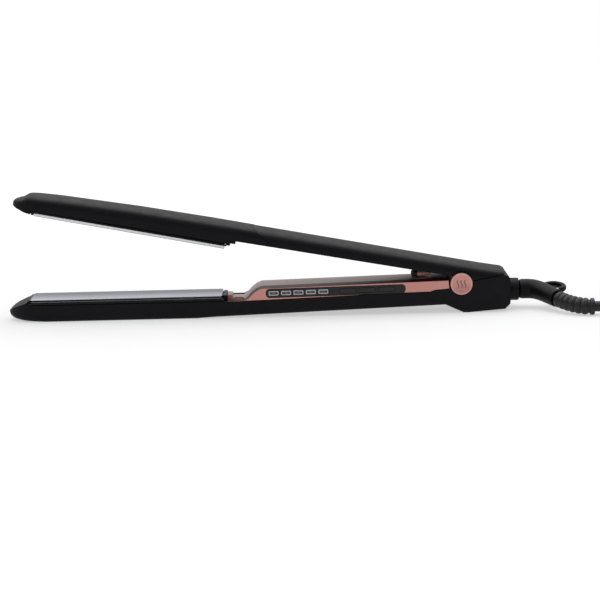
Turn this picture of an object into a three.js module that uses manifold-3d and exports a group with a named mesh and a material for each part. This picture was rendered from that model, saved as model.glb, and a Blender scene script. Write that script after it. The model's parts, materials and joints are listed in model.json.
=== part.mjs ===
// A slim salon flat iron (hair straightener), lying on a table with its jaw open.
// Millimetres. +X towards the cord, +Y across, +Z up; the table is Z = 0.
// Inside the groups below, x and z are counted from the jaw's hinge axis, and the upper arm is
// drawn closed on the lower one, then turned open as a group.

import * as THREE from 'three';
import { mergeVertices } from 'three/addons/utils/BufferGeometryUtils.js';
import Module from 'manifold-3d';

const wasm = await Module();
wasm.setup();

// ---------------------------------------------------------------- driving dimensions

const TIP_X = -260; // nose of the lower arm
const UPPER_TIP_X = -260.5;
const COLLAR_END_X = 34; // last point of the handle
const HINGE_HEIGHT = 16.7; // hinge axis above the table
const JAW_OPEN = THREE.MathUtils.degToRad(11.2); // opening at rest
const HALF_WIDTH = 15; // of both arms
const WALL = 1.8;
const SEAM_STEP = 0.2; // the handle casing sits this much lower than the front one
const GAP = 0.3; // left between touching pieces

const PLATE_LENGTH = 110;
const PLATE_WIDTH = 25;
const PLATE_THICKNESS = 1.9;
const PLATE_START_X = -247;
const PLATE_END_X = PLATE_START_X + PLATE_LENGTH;
const LOWER_PLATE_TOP = -4;
const UPPER_PLATE_FACE = LOWER_PLATE_TOP + GAP;
const LOWER_RIM = -7.1; // top edge of the lower shell beside the plate
const LOWER_NOSE_END = -248.6; // rear faces of the two noses, in front of the plates
const UPPER_NOSE_END = -249;
const UPPER_RIM = { front: -0.6, rear: 0.5 }; // bottom edge of the upper shell beside the plate

const BOSS_RADIUS = 6.9; // round hinge bosses of the lower shell
const CAP_RADIUS = 6.3;
const PIN_RADIUS = 2;
const KNUCKLE_RADIUS = 6.2;
const KNUCKLE_HALF = 9.8;
const BOSS_INNER = 10.2; // |y| of the bosses' inner faces

const COVER_END_X = -7.4;
const COVER_SLOPE = 0.0205; // rise of the handle cover towards the hinge
const coverTop = (x) => 1.25 + (x + 92) * COVER_SLOPE;
const handleEdge = (x) => 2.5 + (x + 92) * 0.011; // lower edge of the upper handle, closed

const PANEL_CENTRE = { x: -72, z: -2.45 };
const PANEL_LENGTH = 80;
const PANEL_HEIGHT = 5.3;
const PANEL_SLOPE = THREE.MathUtils.degToRad(0.75);
const WINDOW_XS = [-107.5, -100.4, -93.3, -86.2, -79.1];
const BUTTONS = { power: -43, minus: -65.2, plus: -54.1 };

const SWIVEL_Z = -6.1; // swivel axis below the hinge axis
const COLLAR_RADIUS = 6.5;
const STEM_RADIUS = 4.2;
const ELBOW_RADIUS = 5.6;
const ELBOW_END_RADIUS = 5.1;
const ELBOW_TILT = THREE.MathUtils.degToRad(10.3);
const ELBOW_REACH = 32; // how far the elbow carries the cord sideways
const BEND_START = 39; // where the elbow leaves the handle's axis
const BOOT_START = 0.5; // share of the bend where the boot takes over
const BOOT_END_X = 73.4;
const BOOT_RIBS = 6;

const CORD_RADIUS = 3;
const HANK = { x: 297, y: -12, straight: 120, outer: 27, bottom: 0.9, top: 24.9 };

// ---------------------------------------------------------------- materials

const material = (color, roughness, metalness) =>
  new THREE.MeshStandardMaterial({ color, roughness, metalness });
const MATT_BLACK = material(0x1d1c1e, 0.6, 0);
const HEAT_BLACK = material(0x151516, 0.5, 0);
const GREY_PLASTIC = material(0x4c4b4e, 0.6, 0);
const ROSE = material(0xb78479, 0.35, 0.9);
const GLOSS_BLACK = material(0x0c0c0e, 0.15, 0);
const WINDOW_GREY = material(0x8c8e92, 0.3, 0);
const PLATE = material(0xa9acb5, 0.2, 1);
const STEEL = material(0x9a9a9c, 0.35, 1);
const CERAMIC = material(0xe6e2d8, 0.7, 0);
const SILICONE = material(0xb9532f, 0.8, 0);
const BOARD = material(0x1f5a33, 0.6, 0);
const RUBBER = material(0x161617, 0.8, 0);

// ---------------------------------------------------------------- solids

const toSolid = (shape) => {
  if (shape.getMesh) return shape;
  const bare = shape.clone();
  bare.deleteAttribute('normal');
  bare.deleteAttribute('uv');
  const merged = mergeVertices(bare, 1e-4);
  return new wasm.Manifold(new wasm.Mesh({
    numProp: 3,
    vertProperties: new Float32Array(merged.attributes.position.array),
    triVerts: new Uint32Array(merged.index.array),
  }));
};

const toGeometry = (solid) => {
  const mesh = solid.getMesh();
  const geometry = new THREE.BufferGeometry();
  geometry.setAttribute('position', new THREE.BufferAttribute(mesh.vertProperties, 3));
  geometry.setIndex(new THREE.BufferAttribute(mesh.triVerts, 1));
  geometry.computeVertexNormals();
  return geometry;
};

const joined = (...shapes) => shapes.map(toSolid).reduce((sum, part) => sum.add(part));
const common = (...shapes) => shapes.map(toSolid).reduce((sum, part) => sum.intersect(part));
const cut = (shape, ...tools) =>
  tools.map(toSolid).reduce((rest, part) => rest.subtract(part), toSolid(shape));

function add(group, name, shape, paint) {
  const mesh = new THREE.Mesh(shape.getMesh ? toGeometry(shape) : shape, paint);
  mesh.name = name;
  group.add(mesh);
  return mesh;
}

const box = (x0, x1, y0, y1, z0, z1) =>
  new THREE.BoxGeometry(x1 - x0, y1 - y0, z1 - z0).translate((x0 + x1) / 2, (y0 + y1) / 2, (z0 + z1) / 2);

const outline = (points) => new THREE.Shape(points.map(([a, b]) => new THREE.Vector2(a, b)));

// A side view (x, z) made into a slab across Y.
const slab = (points, y0, y1) =>
  new THREE.ExtrudeGeometry(outline(points), { depth: y1 - y0, bevelEnabled: false })
    .rotateX(Math.PI / 2)
    .translate(0, y1, 0);

// A front view (y, z) swept along X.
function sweep(shape, x0, x1) {
  const turn = new THREE.Matrix4().makeBasis(
    new THREE.Vector3(0, 1, 0), new THREE.Vector3(0, 0, 1), new THREE.Vector3(1, 0, 0));
  return new THREE.ExtrudeGeometry(shape, { depth: x1 - x0, steps: 1, bevelEnabled: false, curveSegments: 4 })
    .applyMatrix4(turn)
    .translate(x0, 0, 0);
}

// A cylinder across Y (axis through x, z) or along X (axis through y, z).
const rodY = (x, z, radius, y0, y1, sides = 24) =>
  new THREE.CylinderGeometry(radius, radius, y1 - y0, sides).translate(x, (y0 + y1) / 2, z);
const rodX = (y, z, radius, x0, x1, sides = 20) =>
  new THREE.CylinderGeometry(radius, radius, x1 - x0, sides)
    .rotateZ(Math.PI / 2)
    .translate((x0 + x1) / 2, y, z);
const rodZ = (x, y, radius, z0, z1, sides = 12) =>
  new THREE.CylinderGeometry(radius, radius, z1 - z0, sides)
    .rotateX(Math.PI / 2)
    .translate(x, y, (z0 + z1) / 2);

const arc = (radius, from, to, count) => Array.from({ length: count + 1 }, (_, i) => {
  const angle = THREE.MathUtils.degToRad(from + ((to - from) * i) / count);
  return [radius * Math.cos(angle), radius * Math.sin(angle)];
});

// Half of the outline where an arm's section closes, as shares of its width and depth: a belly's round
// corner, whose width is its own radius, and a slightly crowned back with tight shoulders.
const CORNER_START = 0.5;
const CROWN = 0.3;
const SHOULDER_POWER = 14;
const bellyCurve = Array.from({ length: 7 }, (_, i) => {
  const angle = (Math.PI / 12) * i;
  return [CORNER_START + (1 - CORNER_START) * Math.sin(angle), Math.cos(angle)];
});
const backCurve = Array.from({ length: 10 }, (_, i) => {
  const a = 1 - (1 - (i + 1) / 10) ** 2.2;
  return [a, (1 - CROWN * a * a) * Math.sqrt(1 - a ** SHOULDER_POWER)];
});

// An arm's half casing as a solid bar: upright sides that turn into the belly or the back. Each station
// gives x, the half width, the belly's (or back's) z and how deep the round part is.
function armBar(stations, edge, inset, side) {
  const corner = side > 0 ? backCurve : bellyCurve;
  const right = corner.map(([a, b]) => [a, side * b]);
  const left = corner.map(([a, b]) => [-a, side * b]).reverse();
  const middle = side > 0 ? [[0, 1]] : [];
  const section = outline([...left, ...middle, ...right, [1, -side], [-1, -side]]);
  const steps = stations.length - 1;
  const solid = new THREE.ExtrudeGeometry(section, { depth: steps, steps, bevelEnabled: false })
    .applyMatrix4(new THREE.Matrix4().makeBasis(
      new THREE.Vector3(0, 1, 0), new THREE.Vector3(0, 0, 1), new THREE.Vector3(1, 0, 0)));
  const position = solid.attributes.position;
  for (let i = 0; i < position.count; i += 1) {
    const [x, half, end, round] = stations[Math.round(position.getX(i))];
    const depth = Math.max(0.3, round - inset);
    const shoulder = end - side * (inset + depth);
    const a = Math.abs(position.getY(i));
    const b = position.getZ(i) * side;
    const z = b > 0 ? shoulder + side * b * depth : shoulder + (edge - shoulder) * -b;
    const middleHalf = half - inset - depth;
    const bellyY = middleHalf + depth * Math.max(0, (a - CORNER_START) / (1 - CORNER_START));
    const y = side > 0 ? a * (half - inset) : bellyY;
    position.setXYZ(i, x, Math.sign(position.getY(i)) * y, z);
  }
  return solid;
}

// The stations of a nose, with two more on a smooth curve in each gap.
function rounded(stations, steps = 3) {
  const places = new THREE.CatmullRomCurve3(
    stations.map(([x, half, belly]) => new THREE.Vector3(x, half, belly)), false, 'catmullrom');
  const corners = new THREE.CatmullRomCurve3(
    stations.map((station) => new THREE.Vector3(station[3], 0, 0)), false, 'catmullrom');
  const count = (stations.length - 1) * steps;
  return Array.from({ length: count + 1 }, (_, i) => {
    const place = places.getPoint(i / count);
    return [...place.toArray(), corners.getPoint(i / count).x];
  });
}

function curved(points, count = 12) {
  const curve = new THREE.SplineCurve(points.map(([a, b]) => new THREE.Vector2(a, b)));
  return curve.getPoints(count).map((point) => point.toArray());
}

// ---------------------------------------------------------------- groups

const group = new THREE.Group();
const iron = new THREE.Group();
iron.position.set(-(TIP_X + COLLAR_END_X) / 2, 0, HINGE_HEIGHT);
group.add(iron);

const lower = new THREE.Group();
const upper = new THREE.Group();
upper.rotation.y = JAW_OPEN;
const swivel = new THREE.Group();
swivel.position.set(0, 0, SWIVEL_Z);
swivel.rotation.x = ELBOW_TILT;
iron.add(lower, upper, swivel);

// ---------------------------------------------------------------- lower arm

const LOWER_STATIONS = [
  ...rounded([
    [TIP_X, 4, -12.4, 1.6],
    [-259, 7, -13.5, 2],
    [-257, 9.6, -14.6, 2.4],
    [-253.8, 12, -15.4, 2.6],
    [-249.5, 14, -16, 2.6],
    [-245, 14.9, -16.3, 2.5],
    [-238, HALF_WIDTH, -HINGE_HEIGHT, 2.4],
  ]),
  [-152, HALF_WIDTH, -HINGE_HEIGHT, 2.4],
  [-141, HALF_WIDTH, -16.1, 2.4],
  [-92, HALF_WIDTH, -14.4, 2.4],
  [-47, HALF_WIDTH, -13.1, 2.4],
  [-9.2, HALF_WIDTH, -12.1, 2.2],
  [1.2, HALF_WIDTH, -HINGE_HEIGHT, 1],
  [4.2, HALF_WIDTH, -HINGE_HEIGHT, 1],
  [25, 14.6, -15.3, 1.2],
  [28.1, 13.4, -12.9, 2],
];

const LOWER_NOSE = curved([
  [TIP_X - 1, -11.8], [-258.3, -9.5], [-255.3, -7.9], [-250.1, -5.9], [LOWER_NOSE_END, -5.1],
]);
const HOUSING_TOP = [[6.75, 1.35], [24.4, 4.4], [26.7, 3.9], [28.1, 2.2], [29.5, 2.2]];
const STOP_POCKET = [[16.7, 2.2], [21.3, 3], [21.3, 8], [16.7, 8]];
const STRIP_FOOT = [[-124.6, LOWER_RIM], [-32, -4.45], [-18, -4.2], [-15.2, -3.3], [-7.1, -2.7]];

function lowerShell() {
  const top = [
    ...LOWER_NOSE, [LOWER_NOSE_END, LOWER_RIM], ...STRIP_FOOT,
    ...arc(BOSS_RADIUS, 202, 12, 18), ...HOUSING_TOP,
  ];
  const profile = [...top, [29.5, -18], [TIP_X - 1, -18]];
  let shell = common(armBar(LOWER_STATIONS, 9, 0, -1), slab(profile, -16, 16));
  const inner = LOWER_STATIONS.filter(([x]) => x > -250 && x < 28);
  inner.push([26, 14.4, -14.9, 1.4]);
  const hollow = common(
    armBar(inner, 9.5, WALL, -1),
    slab([[-247.8, 10], [-247.8, -18], [26.2, -18], [26.2, 3.2], [8.4, -0.6], [8.4, 10]], -16, 16));
  shell = shell.subtract(hollow);
  for (const side of [-1, 1]) {
    const y = [side * BOSS_INNER, side * (HALF_WIDTH - 0.2)].sort((a, b) => a - b);
    shell = shell.add(toSolid(rodY(0, 0, BOSS_RADIUS, y[0], y[1], 32)));
    const mouth = [side * (HALF_WIDTH - 1.7), side * (HALF_WIDTH + 1)].sort((a, b) => a - b);
    shell = cut(shell, rodY(0, 0, CAP_RADIUS + 0.25, mouth[0], mouth[1], 32));
  }
  shell = cut(
    shell,
    rodY(0, 0, PIN_RADIUS + 0.15, -16, 16, 16),
    rodX(0, SWIVEL_Z, COLLAR_RADIUS + GAP, 25.4, 30, 28),
    slab(STOP_POCKET, -5.3, 5.3));
  return shell;
}
add(lower, 'lower_shell', lowerShell(), MATT_BLACK);

// Frame that holds a heating plate: a rim round the plate, a floor behind the heater.
function plateCarrier(z, side, noseX) {
  const endX = PLATE_END_X + 1;
  const span = (a, b) => [z + side * a, z + side * b].sort((p, q) => p - q);
  const [rimTop, rimFoot, shelf, floor] = [PLATE_THICKNESS, 2.8, 5.2, 8.4];
  const body = joined(
    box(PLATE_START_X - 1, endX, -14.2, 14.2, ...span(rimTop, rimFoot)),
    box(PLATE_START_X - 0.4, endX, -12.2, 12.2, ...span(rimFoot - 0.1, shelf)),
    box(PLATE_START_X + 2, endX, -10.2, 10.2, ...span(shelf - 0.1, floor)),
    box(noseX + GAP, PLATE_START_X - GAP, -11.6, 11.6, ...span(0.4, rimFoot)));
  return cut(
    body,
    box(PLATE_START_X - GAP, PLATE_END_X + GAP, -12.8, 12.8, ...span(-1, rimFoot + 0.3)),
    box(PLATE_START_X - GAP, PLATE_END_X + GAP, -11.3, 11.3, ...span(rimFoot, 4.4)),
    box(PLATE_START_X + 4, PLATE_END_X - 4, -9.5, 9.5, ...span(4.3, 7.4)));
}

function lowerCarrier() {
  const carrier = plateCarrier(LOWER_PLATE_TOP, -1, LOWER_NOSE_END);
  return carrier.add(toSolid(box(PLATE_END_X + 0.4, PLATE_END_X + 2.8, -9, 9, -11, -4.3)));
}
add(lower, 'lower_plate_carrier', lowerCarrier(), HEAT_BLACK);

// Silicone strip under each end of a heater, which lets the plate float.
function springPad(z, side, x) {
  const zs = [z + side * 6.1, z + side * 7.3].sort((a, b) => a - b);
  return joined(box(x - 7, x + 7, -6, 6, ...zs), box(x - 3, x + 3, -8, 8, ...zs));
}
add(lower, 'lower_spring_pad_front', springPad(LOWER_PLATE_TOP, -1, PLATE_START_X + 16), SILICONE);
add(lower, 'lower_spring_pad_rear', springPad(LOWER_PLATE_TOP, -1, PLATE_END_X - 16), SILICONE);

// Aluminium plate: a 25 mm face with eased edges and a narrower rib behind it.
function heatingPlate(z, side) {
  const half = PLATE_WIDTH / 2;
  const ease = 0.7;
  const points = [
    [-half + ease, 0], [half - ease, 0], [half, ease * 0.6], [half, PLATE_THICKNESS],
    [11, PLATE_THICKNESS], [11, 3.1], [-11, 3.1], [-11, PLATE_THICKNESS],
    [-half, PLATE_THICKNESS], [-half, ease * 0.6],
  ].map(([y, depth]) => [y, z + side * depth]);
  return sweep(outline(points), PLATE_START_X, PLATE_END_X);
}

function heater(z, side) {
  const zs = [z + side * 3.4, z + side * 4.7].sort((a, b) => a - b);
  return box(PLATE_START_X + 14, PLATE_END_X - 14, -9, 9, ...zs);
}

const lowerPlate = new THREE.Group();
const upperPlate = new THREE.Group();
lower.add(lowerPlate);
upper.add(upperPlate);
add(lowerPlate, 'lower_plate', heatingPlate(LOWER_PLATE_TOP, -1), PLATE);
add(lowerPlate, 'lower_heater', heater(LOWER_PLATE_TOP, -1), CERAMIC);
add(lowerPlate, 'thermistor', rodX(0, LOWER_PLATE_TOP - 5.5, 0.5, -200, -186, 8), CERAMIC);

// ---------------------------------------------------------------- handle cover and controls

// Side view of the cover's top: x, z, and how far each point drops and moves back at the outer edges,
// which gives the top and the ramp sloping shoulders.
const COVER_TOP = [
  [-124.2, -6.6, 0, 0.4], [-122.5, -5.3, 0.4, 0.5], [-119.8, -2.3, 0.6, 0.5], [-117.2, -0.4, 0.7, 0.4],
  [-114.3, coverTop(-114.3), 0.9, 0], [COVER_END_X, coverTop(COVER_END_X), 0.9, 0],
];
const SHOULDER_Y = 9.8;

// The cover's outside: its side view drawn at four places across, with the outer two lower.
function coverBlock() {
  const foot = STRIP_FOOT.map(([x, z]) => [x, z + 0.25]).reverse();
  const ys = [HALF_WIDTH, SHOULDER_Y, -SHOULDER_Y, -HALF_WIDTH];
  const block = new THREE.ExtrudeGeometry(
    outline([...COVER_TOP, ...foot]), { depth: 3, steps: 3, bevelEnabled: false });
  const position = block.attributes.position;
  for (let i = 0; i < position.count; i += 1) {
    const [x, z, place] = [position.getX(i), position.getY(i), Math.round(position.getZ(i))];
    const shoulder = COVER_TOP.find(([a, b]) => Math.hypot(a - x, b - z) < 0.01) ?? [x, z, 0, 0];
    const outer = Math.abs(ys[place]) > SHOULDER_Y ? 1 : 0;
    position.setXYZ(i, x + outer * shoulder[3], ys[place], z - outer * shoulder[2]);
  }
  return block;
}

// The hollow under the cover's top: upright sides and shoulders of its own.
function coverHollow() {
  const [side, top, drop] = [HALF_WIDTH - 1.5, 9.2, 1.5];
  const block = sweep(outline([
    [-side, -14], [side, -14], [side, -0.9 - drop], [top, -drop], [-top, -drop], [-side, -0.9 - drop],
  ]), -140, COVER_END_X);
  const position = block.attributes.position;
  for (let i = 0; i < position.count; i += 1) {
    position.setZ(i, position.getZ(i) + coverTop(position.getX(i)));
  }
  const under = [
    [-121.2, -7.5], [-117.4, -3.6], [-114.8, -1.9], [-112.4, 0.2],
    [COVER_END_X + 1, 6], [COVER_END_X + 1, -9], [-121.2, -9],
  ];
  return common(block, slab(under, -16, 16));
}

const onPanel = (geometry) => geometry.rotateY(-PANEL_SLOPE).translate(PANEL_CENTRE.x, 0, PANEL_CENTRE.z);

// Rounded oblong in the side view, as a slab between two y values, placed along the panel.
function pill(x, width, height, radius, y0, y1) {
  const shape = new THREE.Shape();
  const w = width / 2 - radius;
  const h = height / 2 - radius;
  shape.absarc(w, h, radius, 0, Math.PI / 2);
  shape.absarc(-w, h, radius, Math.PI / 2, Math.PI);
  shape.absarc(-w, -h, radius, Math.PI, 1.5 * Math.PI);
  shape.absarc(w, -h, radius, 1.5 * Math.PI, 2 * Math.PI);
  const oblong = new THREE.ExtrudeGeometry(shape, { depth: y1 - y0, bevelEnabled: false, curveSegments: 3 });
  return onPanel(oblong.rotateX(Math.PI / 2).translate(x - PANEL_CENTRE.x, y1, 0));
}

function handleCover() {
  let cover = cut(coverBlock(), coverHollow());
  cover = cover.add(joined(
    box(-134, -131.2, -6, 6, -11, -4.6),
    box(-131.4, -122.6, -6, 6, -11, -6.4),
    box(-134, -119, -11.5, 11.5, -11, -9.6),
    box(-122.6, -119.6, -11.5, 11.5, -11, -6.2)));
  return cut(
    cover,
    box(-129.8, -125.4, -6.5, -3.5, -7.4, -6),
    pill(PANEL_CENTRE.x, PANEL_LENGTH, PANEL_HEIGHT, 2.2, -16, -12),
    rodZ(-99.8, 0, 0.85, -3, 6, 12));
}
add(lower, 'handle_cover', handleCover(), ROSE);
add(lower, 'cover_screw', rodZ(-99.8, 0, 0.7, -6, coverTop(-99.8) - 0.3, 10), STEEL);

function wireTower() {
  const body = common(
    slab([[-28, 2.9], [-28, 5.4], [-27, 6.5], [-17.4, 6.5], [-16.6, 5.6], [-16.6, 3.1]], -6, 6),
    joined(rodZ(-22.9, 0, 6, 2, 8, 28), box(-23.9, -16, -5.6, 5.6, 2, 8)));
  return cut(body, box(-24, -19, -3.4, 3.4, 2, 5.2));
}
add(lower, 'wire_tower', wireTower(), ROSE);

function controlPanel() {
  const gap = 0.2;
  const holes = [
    ...WINDOW_XS.map((x) => pill(x, 5.9, 2.7, 0.4, -16, -12)),
    ...Object.values(BUTTONS).map((x) => pill(x, 9.9, 3, 1.3, -16, -12)),
  ];
  const plate = pill(
    PANEL_CENTRE.x, PANEL_LENGTH - 2 * gap, PANEL_HEIGHT - 2 * gap, 2, -HALF_WIDTH - 0.1, -13.7);
  return cut(plate, ...holes);
}
add(lower, 'control_panel', controlPanel(), GLOSS_BLACK);
WINDOW_XS.forEach((x, i) => {
  add(lower, `indicator_window_${i + 1}`, pill(x, 5.5, 2.3, 0.3, -HALF_WIDTH - 0.1, -13.9), WINDOW_GREY);
});
add(lower, 'control_board', onPanel(box(-37, 37, -12.2, -11, -5, 1.7)), BOARD);

for (const [name, x] of Object.entries(BUTTONS)) {
  add(lower, `button_${name}`, pill(x, 9.5, 2.6, 1.1, -HALF_WIDTH - 0.3, -13.2), GLOSS_BLACK);
}

// ---------------------------------------------------------------- hinge

add(lower, 'hinge_pin', rodY(0, 0, PIN_RADIUS, -13.1, 13.1, 16), STEEL);
for (const [name, side] of [['near', -1], ['far', 1]]) {
  const y = [side * 13.4, side * (HALF_WIDTH + 0.3)].sort((a, b) => a - b);
  add(lower, `hinge_cap_${name}`, rodY(0, 0, CAP_RADIUS, y[0], y[1], 36), ROSE);
}

const SPRING_RADIUS = 3.4;
const SPRING_WIRE = 0.5;

function hingeSpring() {
  const turns = 4;
  const points = [new THREE.Vector3(SPRING_RADIUS, -3, -9)];
  for (let i = 0; i <= turns * 10; i += 1) {
    const angle = (i / 10) * 2 * Math.PI;
    points.push(new THREE.Vector3(
      SPRING_RADIUS * Math.cos(angle), -3 + (6 * i) / (turns * 10), SPRING_RADIUS * Math.sin(angle)));
  }
  const path = new THREE.CatmullRomCurve3(points);
  const wire = new THREE.Shape().absarc(0, 0, SPRING_WIRE, 0, 2 * Math.PI);
  return new THREE.ExtrudeGeometry(wire, { extrudePath: path, steps: turns * 12, curveSegments: 3 });
}
add(lower, 'hinge_spring', hingeSpring(), STEEL);
add(lower, 'opening_stop', slab([[17, 2.5], [21, 3.2], [21, 4.1], [17, 3.4]], -5, 5), RUBBER);

// ---------------------------------------------------------------- swivel socket in the housing

const ring = (z, inner, outer, x0, x1, sides) =>
  cut(rodX(0, z, outer, x0, x1, sides), rodX(0, z, inner, x0 - 1, x1 + 1, sides));
const collar = ring(SWIVEL_Z, STEM_RADIUS + GAP, COLLAR_RADIUS, 25.6, COLLAR_END_X, 28);
add(lower, 'swivel_collar', collar, MATT_BLACK);
add(lower, 'mains_lead_inner', new THREE.ExtrudeGeometry(
  new THREE.Shape().absarc(0, 0, 1.4, 0, 2 * Math.PI),
  {
    extrudePath: new THREE.CatmullRomCurve3([
      new THREE.Vector3(17.4, 0, SWIVEL_Z), new THREE.Vector3(10, 0, -7.9), new THREE.Vector3(-4, 0, -8.6),
      new THREE.Vector3(-20, -2, -8.2), new THREE.Vector3(-30, -6, -7.6),
    ]),
    steps: 14,
    curveSegments: 4,
  }), RUBBER);

// ---------------------------------------------------------------- upper arm

const UPPER_STATIONS = [
  ...rounded([
    [UPPER_TIP_X, 3.5, 1.9, 1],
    [-259.6, 6.5, 2.9, 1.8],
    [-257.6, 9.2, 3.9, 2.6],
    [-255.2, 11, 4.9, 3.3],
    [-252.3, 12.8, 7.1, 4.4],
    [-247.5, 14.3, 7.9, 5.2],
    [-242, HALF_WIDTH, 8.3, 5.6],
  ]),
  [-235, HALF_WIDTH, 8.8, 5.8],
  [-212, HALF_WIDTH, 9.7, 6],
  [-189, HALF_WIDTH, 10.4, 6.1],
  [-166, HALF_WIDTH, 10.8, 6.1],
  [-146, HALF_WIDTH, 11, 6.1],
  [-67, HALF_WIDTH, 11.05, 6],
  [10, HALF_WIDTH, 11.6, 5.8],
  [19, 14.8, 11.8, 5.4],
  [22.4, 14.4, 11.8, 4.2],
  [23.8, 14, 11.3, 3.4],
];
const UPPER_NOSE = curved([
  [UPPER_TIP_X - 1, 0.4], [-259, -0.8], [-255, -1.9], [-252.5, -2.5], [UPPER_NOSE_END, -2.8],
]);
const SEAM_TOP_X = -124; // the diagonal joint between the two casings of the upper arm
const SEAM_TOP_Z = 11.2;
const SEAM_SLOPE = [14, -8.5];

function upperCasing(inset) {
  const under = [
    ...UPPER_NOSE, [UPPER_NOSE_END, UPPER_RIM.front], [-131.2, UPPER_RIM.rear], [-131.2, handleEdge(-131.2)],
    [-6.9, handleEdge(-6.9)], ...arc(BOSS_RADIUS + 0.3, 152, 26, 12), [23.4, 9.7], [25, 9.7],
  ];
  const profile = [...under, [25, 14], [UPPER_TIP_X - 1, 14]];
  const casing = common(armBar(UPPER_STATIONS, -6, inset, 1), slab(profile, -16, 16));
  const inner = UPPER_STATIONS.filter(([x]) => x > -250 && x < 20);
  const hollow = common(
    armBar(inner, -6.5, WALL, 1),
    slab([[-247.6, -8], [12, -8], [12, 6.2], [17, 8.4], [17, 14], [-247.6, 14]], -16, 16));
  return casing.subtract(hollow);
}

function seamHalf(direction) {
  const [dx, dz] = SEAM_SLOPE;
  const shift = direction * GAP / 2;
  const a = [SEAM_TOP_X + shift - dx, SEAM_TOP_Z - dz];
  const b = [SEAM_TOP_X + shift + 2 * dx, SEAM_TOP_Z + 2 * dz];
  const far = direction * 400;
  return slab([a, b, [b[0] + far, b[1]], [a[0] + far, a[1]]], -17, 17);
}

add(upper, 'upper_front_shell', common(upperCasing(0), seamHalf(-1)), MATT_BLACK);
add(upper, 'upper_handle_shell', common(upperCasing(SEAM_STEP), seamHalf(1)), MATT_BLACK);

function upperCarrier() {
  const carrier = plateCarrier(UPPER_PLATE_FACE, 1, UPPER_NOSE_END);
  return carrier.add(joined(
    box(PLATE_END_X + 0.7, PLATE_END_X + 2.9, -9, 9, -1.9, 4.6),
    slab([[-134.2, -0.8], [-132.1, -0.8], [-130.9, 1.6], [-130.9, 4.6], [-134.2, 4.6]], -7, 7)));
}
add(upper, 'upper_plate_carrier', upperCarrier(), HEAT_BLACK);
add(upper, 'upper_spring_pad_front', springPad(UPPER_PLATE_FACE, 1, PLATE_START_X + 16), SILICONE);
add(upper, 'upper_spring_pad_rear', springPad(UPPER_PLATE_FACE, 1, PLATE_END_X - 16), SILICONE);
add(upperPlate, 'upper_plate', heatingPlate(UPPER_PLATE_FACE, 1), PLATE);
add(upperPlate, 'upper_heater', heater(UPPER_PLATE_FACE, 1), CERAMIC);
add(upperPlate, 'thermal_fuse', rodX(0, UPPER_PLATE_FACE + 5.7, 0.7, -198, -188, 8), STEEL);

// Inner cover of the upper handle, with the knuckle that turns on the hinge pin.
function innerCover() {
  const ends = [-130.6, -9];
  const sheet = slab([
    ...ends.map((x) => [x, handleEdge(x) + 0.3]),
    ...ends.map((x) => [x, handleEdge(x) + 2]).reverse(),
  ], -12.6, 12.6);
  const web = slab([[-13, 3.6], [-4, 3], [3, 3], [5, 6.6], [-13, 6.6]], -KNUCKLE_HALF, KNUCKLE_HALF);
  const solid = joined(sheet, web, rodY(0, 0, KNUCKLE_RADIUS, -KNUCKLE_HALF, KNUCKLE_HALF, 28));
  return cut(
    solid,
    box(-31, -14.6, -7.2, 7.2, 0, 9),
    rodY(0, 0, PIN_RADIUS + 0.25, -12, 12, 20),
    rodY(0, 0, SPRING_RADIUS + 1.1, -4.4, 4.4, 20),
    box(-2, 8, -4.4, 4.4, -9, -0.5));
}
add(upper, 'upper_inner_cover', innerCover(), HEAT_BLACK);
for (const [name, x] of [['front', -122], ['rear', -44]]) {
  add(upper, `inner_cover_screw_${name}`, joined(
    rodZ(x, 0, 2, handleEdge(x) - 0.6, handleEdge(x), 14),
    rodZ(x, 0, 1, handleEdge(x) - 0.1, handleEdge(x) + 0.1, 10)), STEEL);
}

// ---------------------------------------------------------------- swivel elbow and boot

const flat = (x, across) => new THREE.Vector3(x, -across, 0);
const bend = new THREE.CubicBezierCurve3(
  flat(BEND_START, 0), flat(BEND_START + 12, 0),
  flat(BOOT_END_X - 19.4, ELBOW_REACH), flat(BOOT_END_X, ELBOW_REACH));

// Part of a curve, from u0 to u1 of its length.
class Stretch extends THREE.Curve {
  constructor(curve, u0, u1) {
    super();
    Object.assign(this, { curve, u0, u1 });
  }

  getPoint(t, target) {
    return this.curve.getPointAt(this.u0 + (this.u1 - this.u0) * t, target);
  }
}

// A round bar along part of a curve, from one radius to another. Each point belongs to the ring whose
// centre is one radius away.
function bar(curve, u0, u1, radius, endRadius, steps, sides = 14) {
  const stretch = new Stretch(curve, u0, u1);
  const shape = new THREE.Shape().absarc(0, 0, radius, 0, 2 * Math.PI);
  const solid = new THREE.ExtrudeGeometry(shape, { extrudePath: stretch, steps, curveSegments: sides / 2 });
  const centres = stretch.getSpacedPoints(steps);
  const position = solid.attributes.position;
  const point = new THREE.Vector3();
  for (let i = 0; i < position.count; i += 1) {
    point.fromBufferAttribute(position, i);
    const reach = centres.map((centre) => Math.abs(point.distanceTo(centre) - radius));
    const step = reach.indexOf(Math.min(...reach));
    const share = 1 + (endRadius / radius - 1) * (step / steps);
    point.sub(centres[step]).multiplyScalar(share).add(centres[step]);
    position.setXYZ(i, point.x, point.y, point.z);
  }
  return solid;
}

const HANG_RING = { x: 54.6, y: 1.2, outerX: 7.4, outerY: 7.2, wall: 3, half: 1.75 };

function hangRing() {
  const { x, y, outerX, outerY, wall, half } = HANG_RING;
  const shape = new THREE.Shape().absellipse(x, y, outerX, outerY, 0, 2 * Math.PI);
  shape.holes.push(new THREE.Path().absellipse(x + 0.4, y, outerX - wall, outerY - wall, 0, 2 * Math.PI));
  return new THREE.ExtrudeGeometry(shape, { depth: 2 * half, bevelEnabled: false, curveSegments: 12 })
    .translate(0, 0, -half);
}

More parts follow.
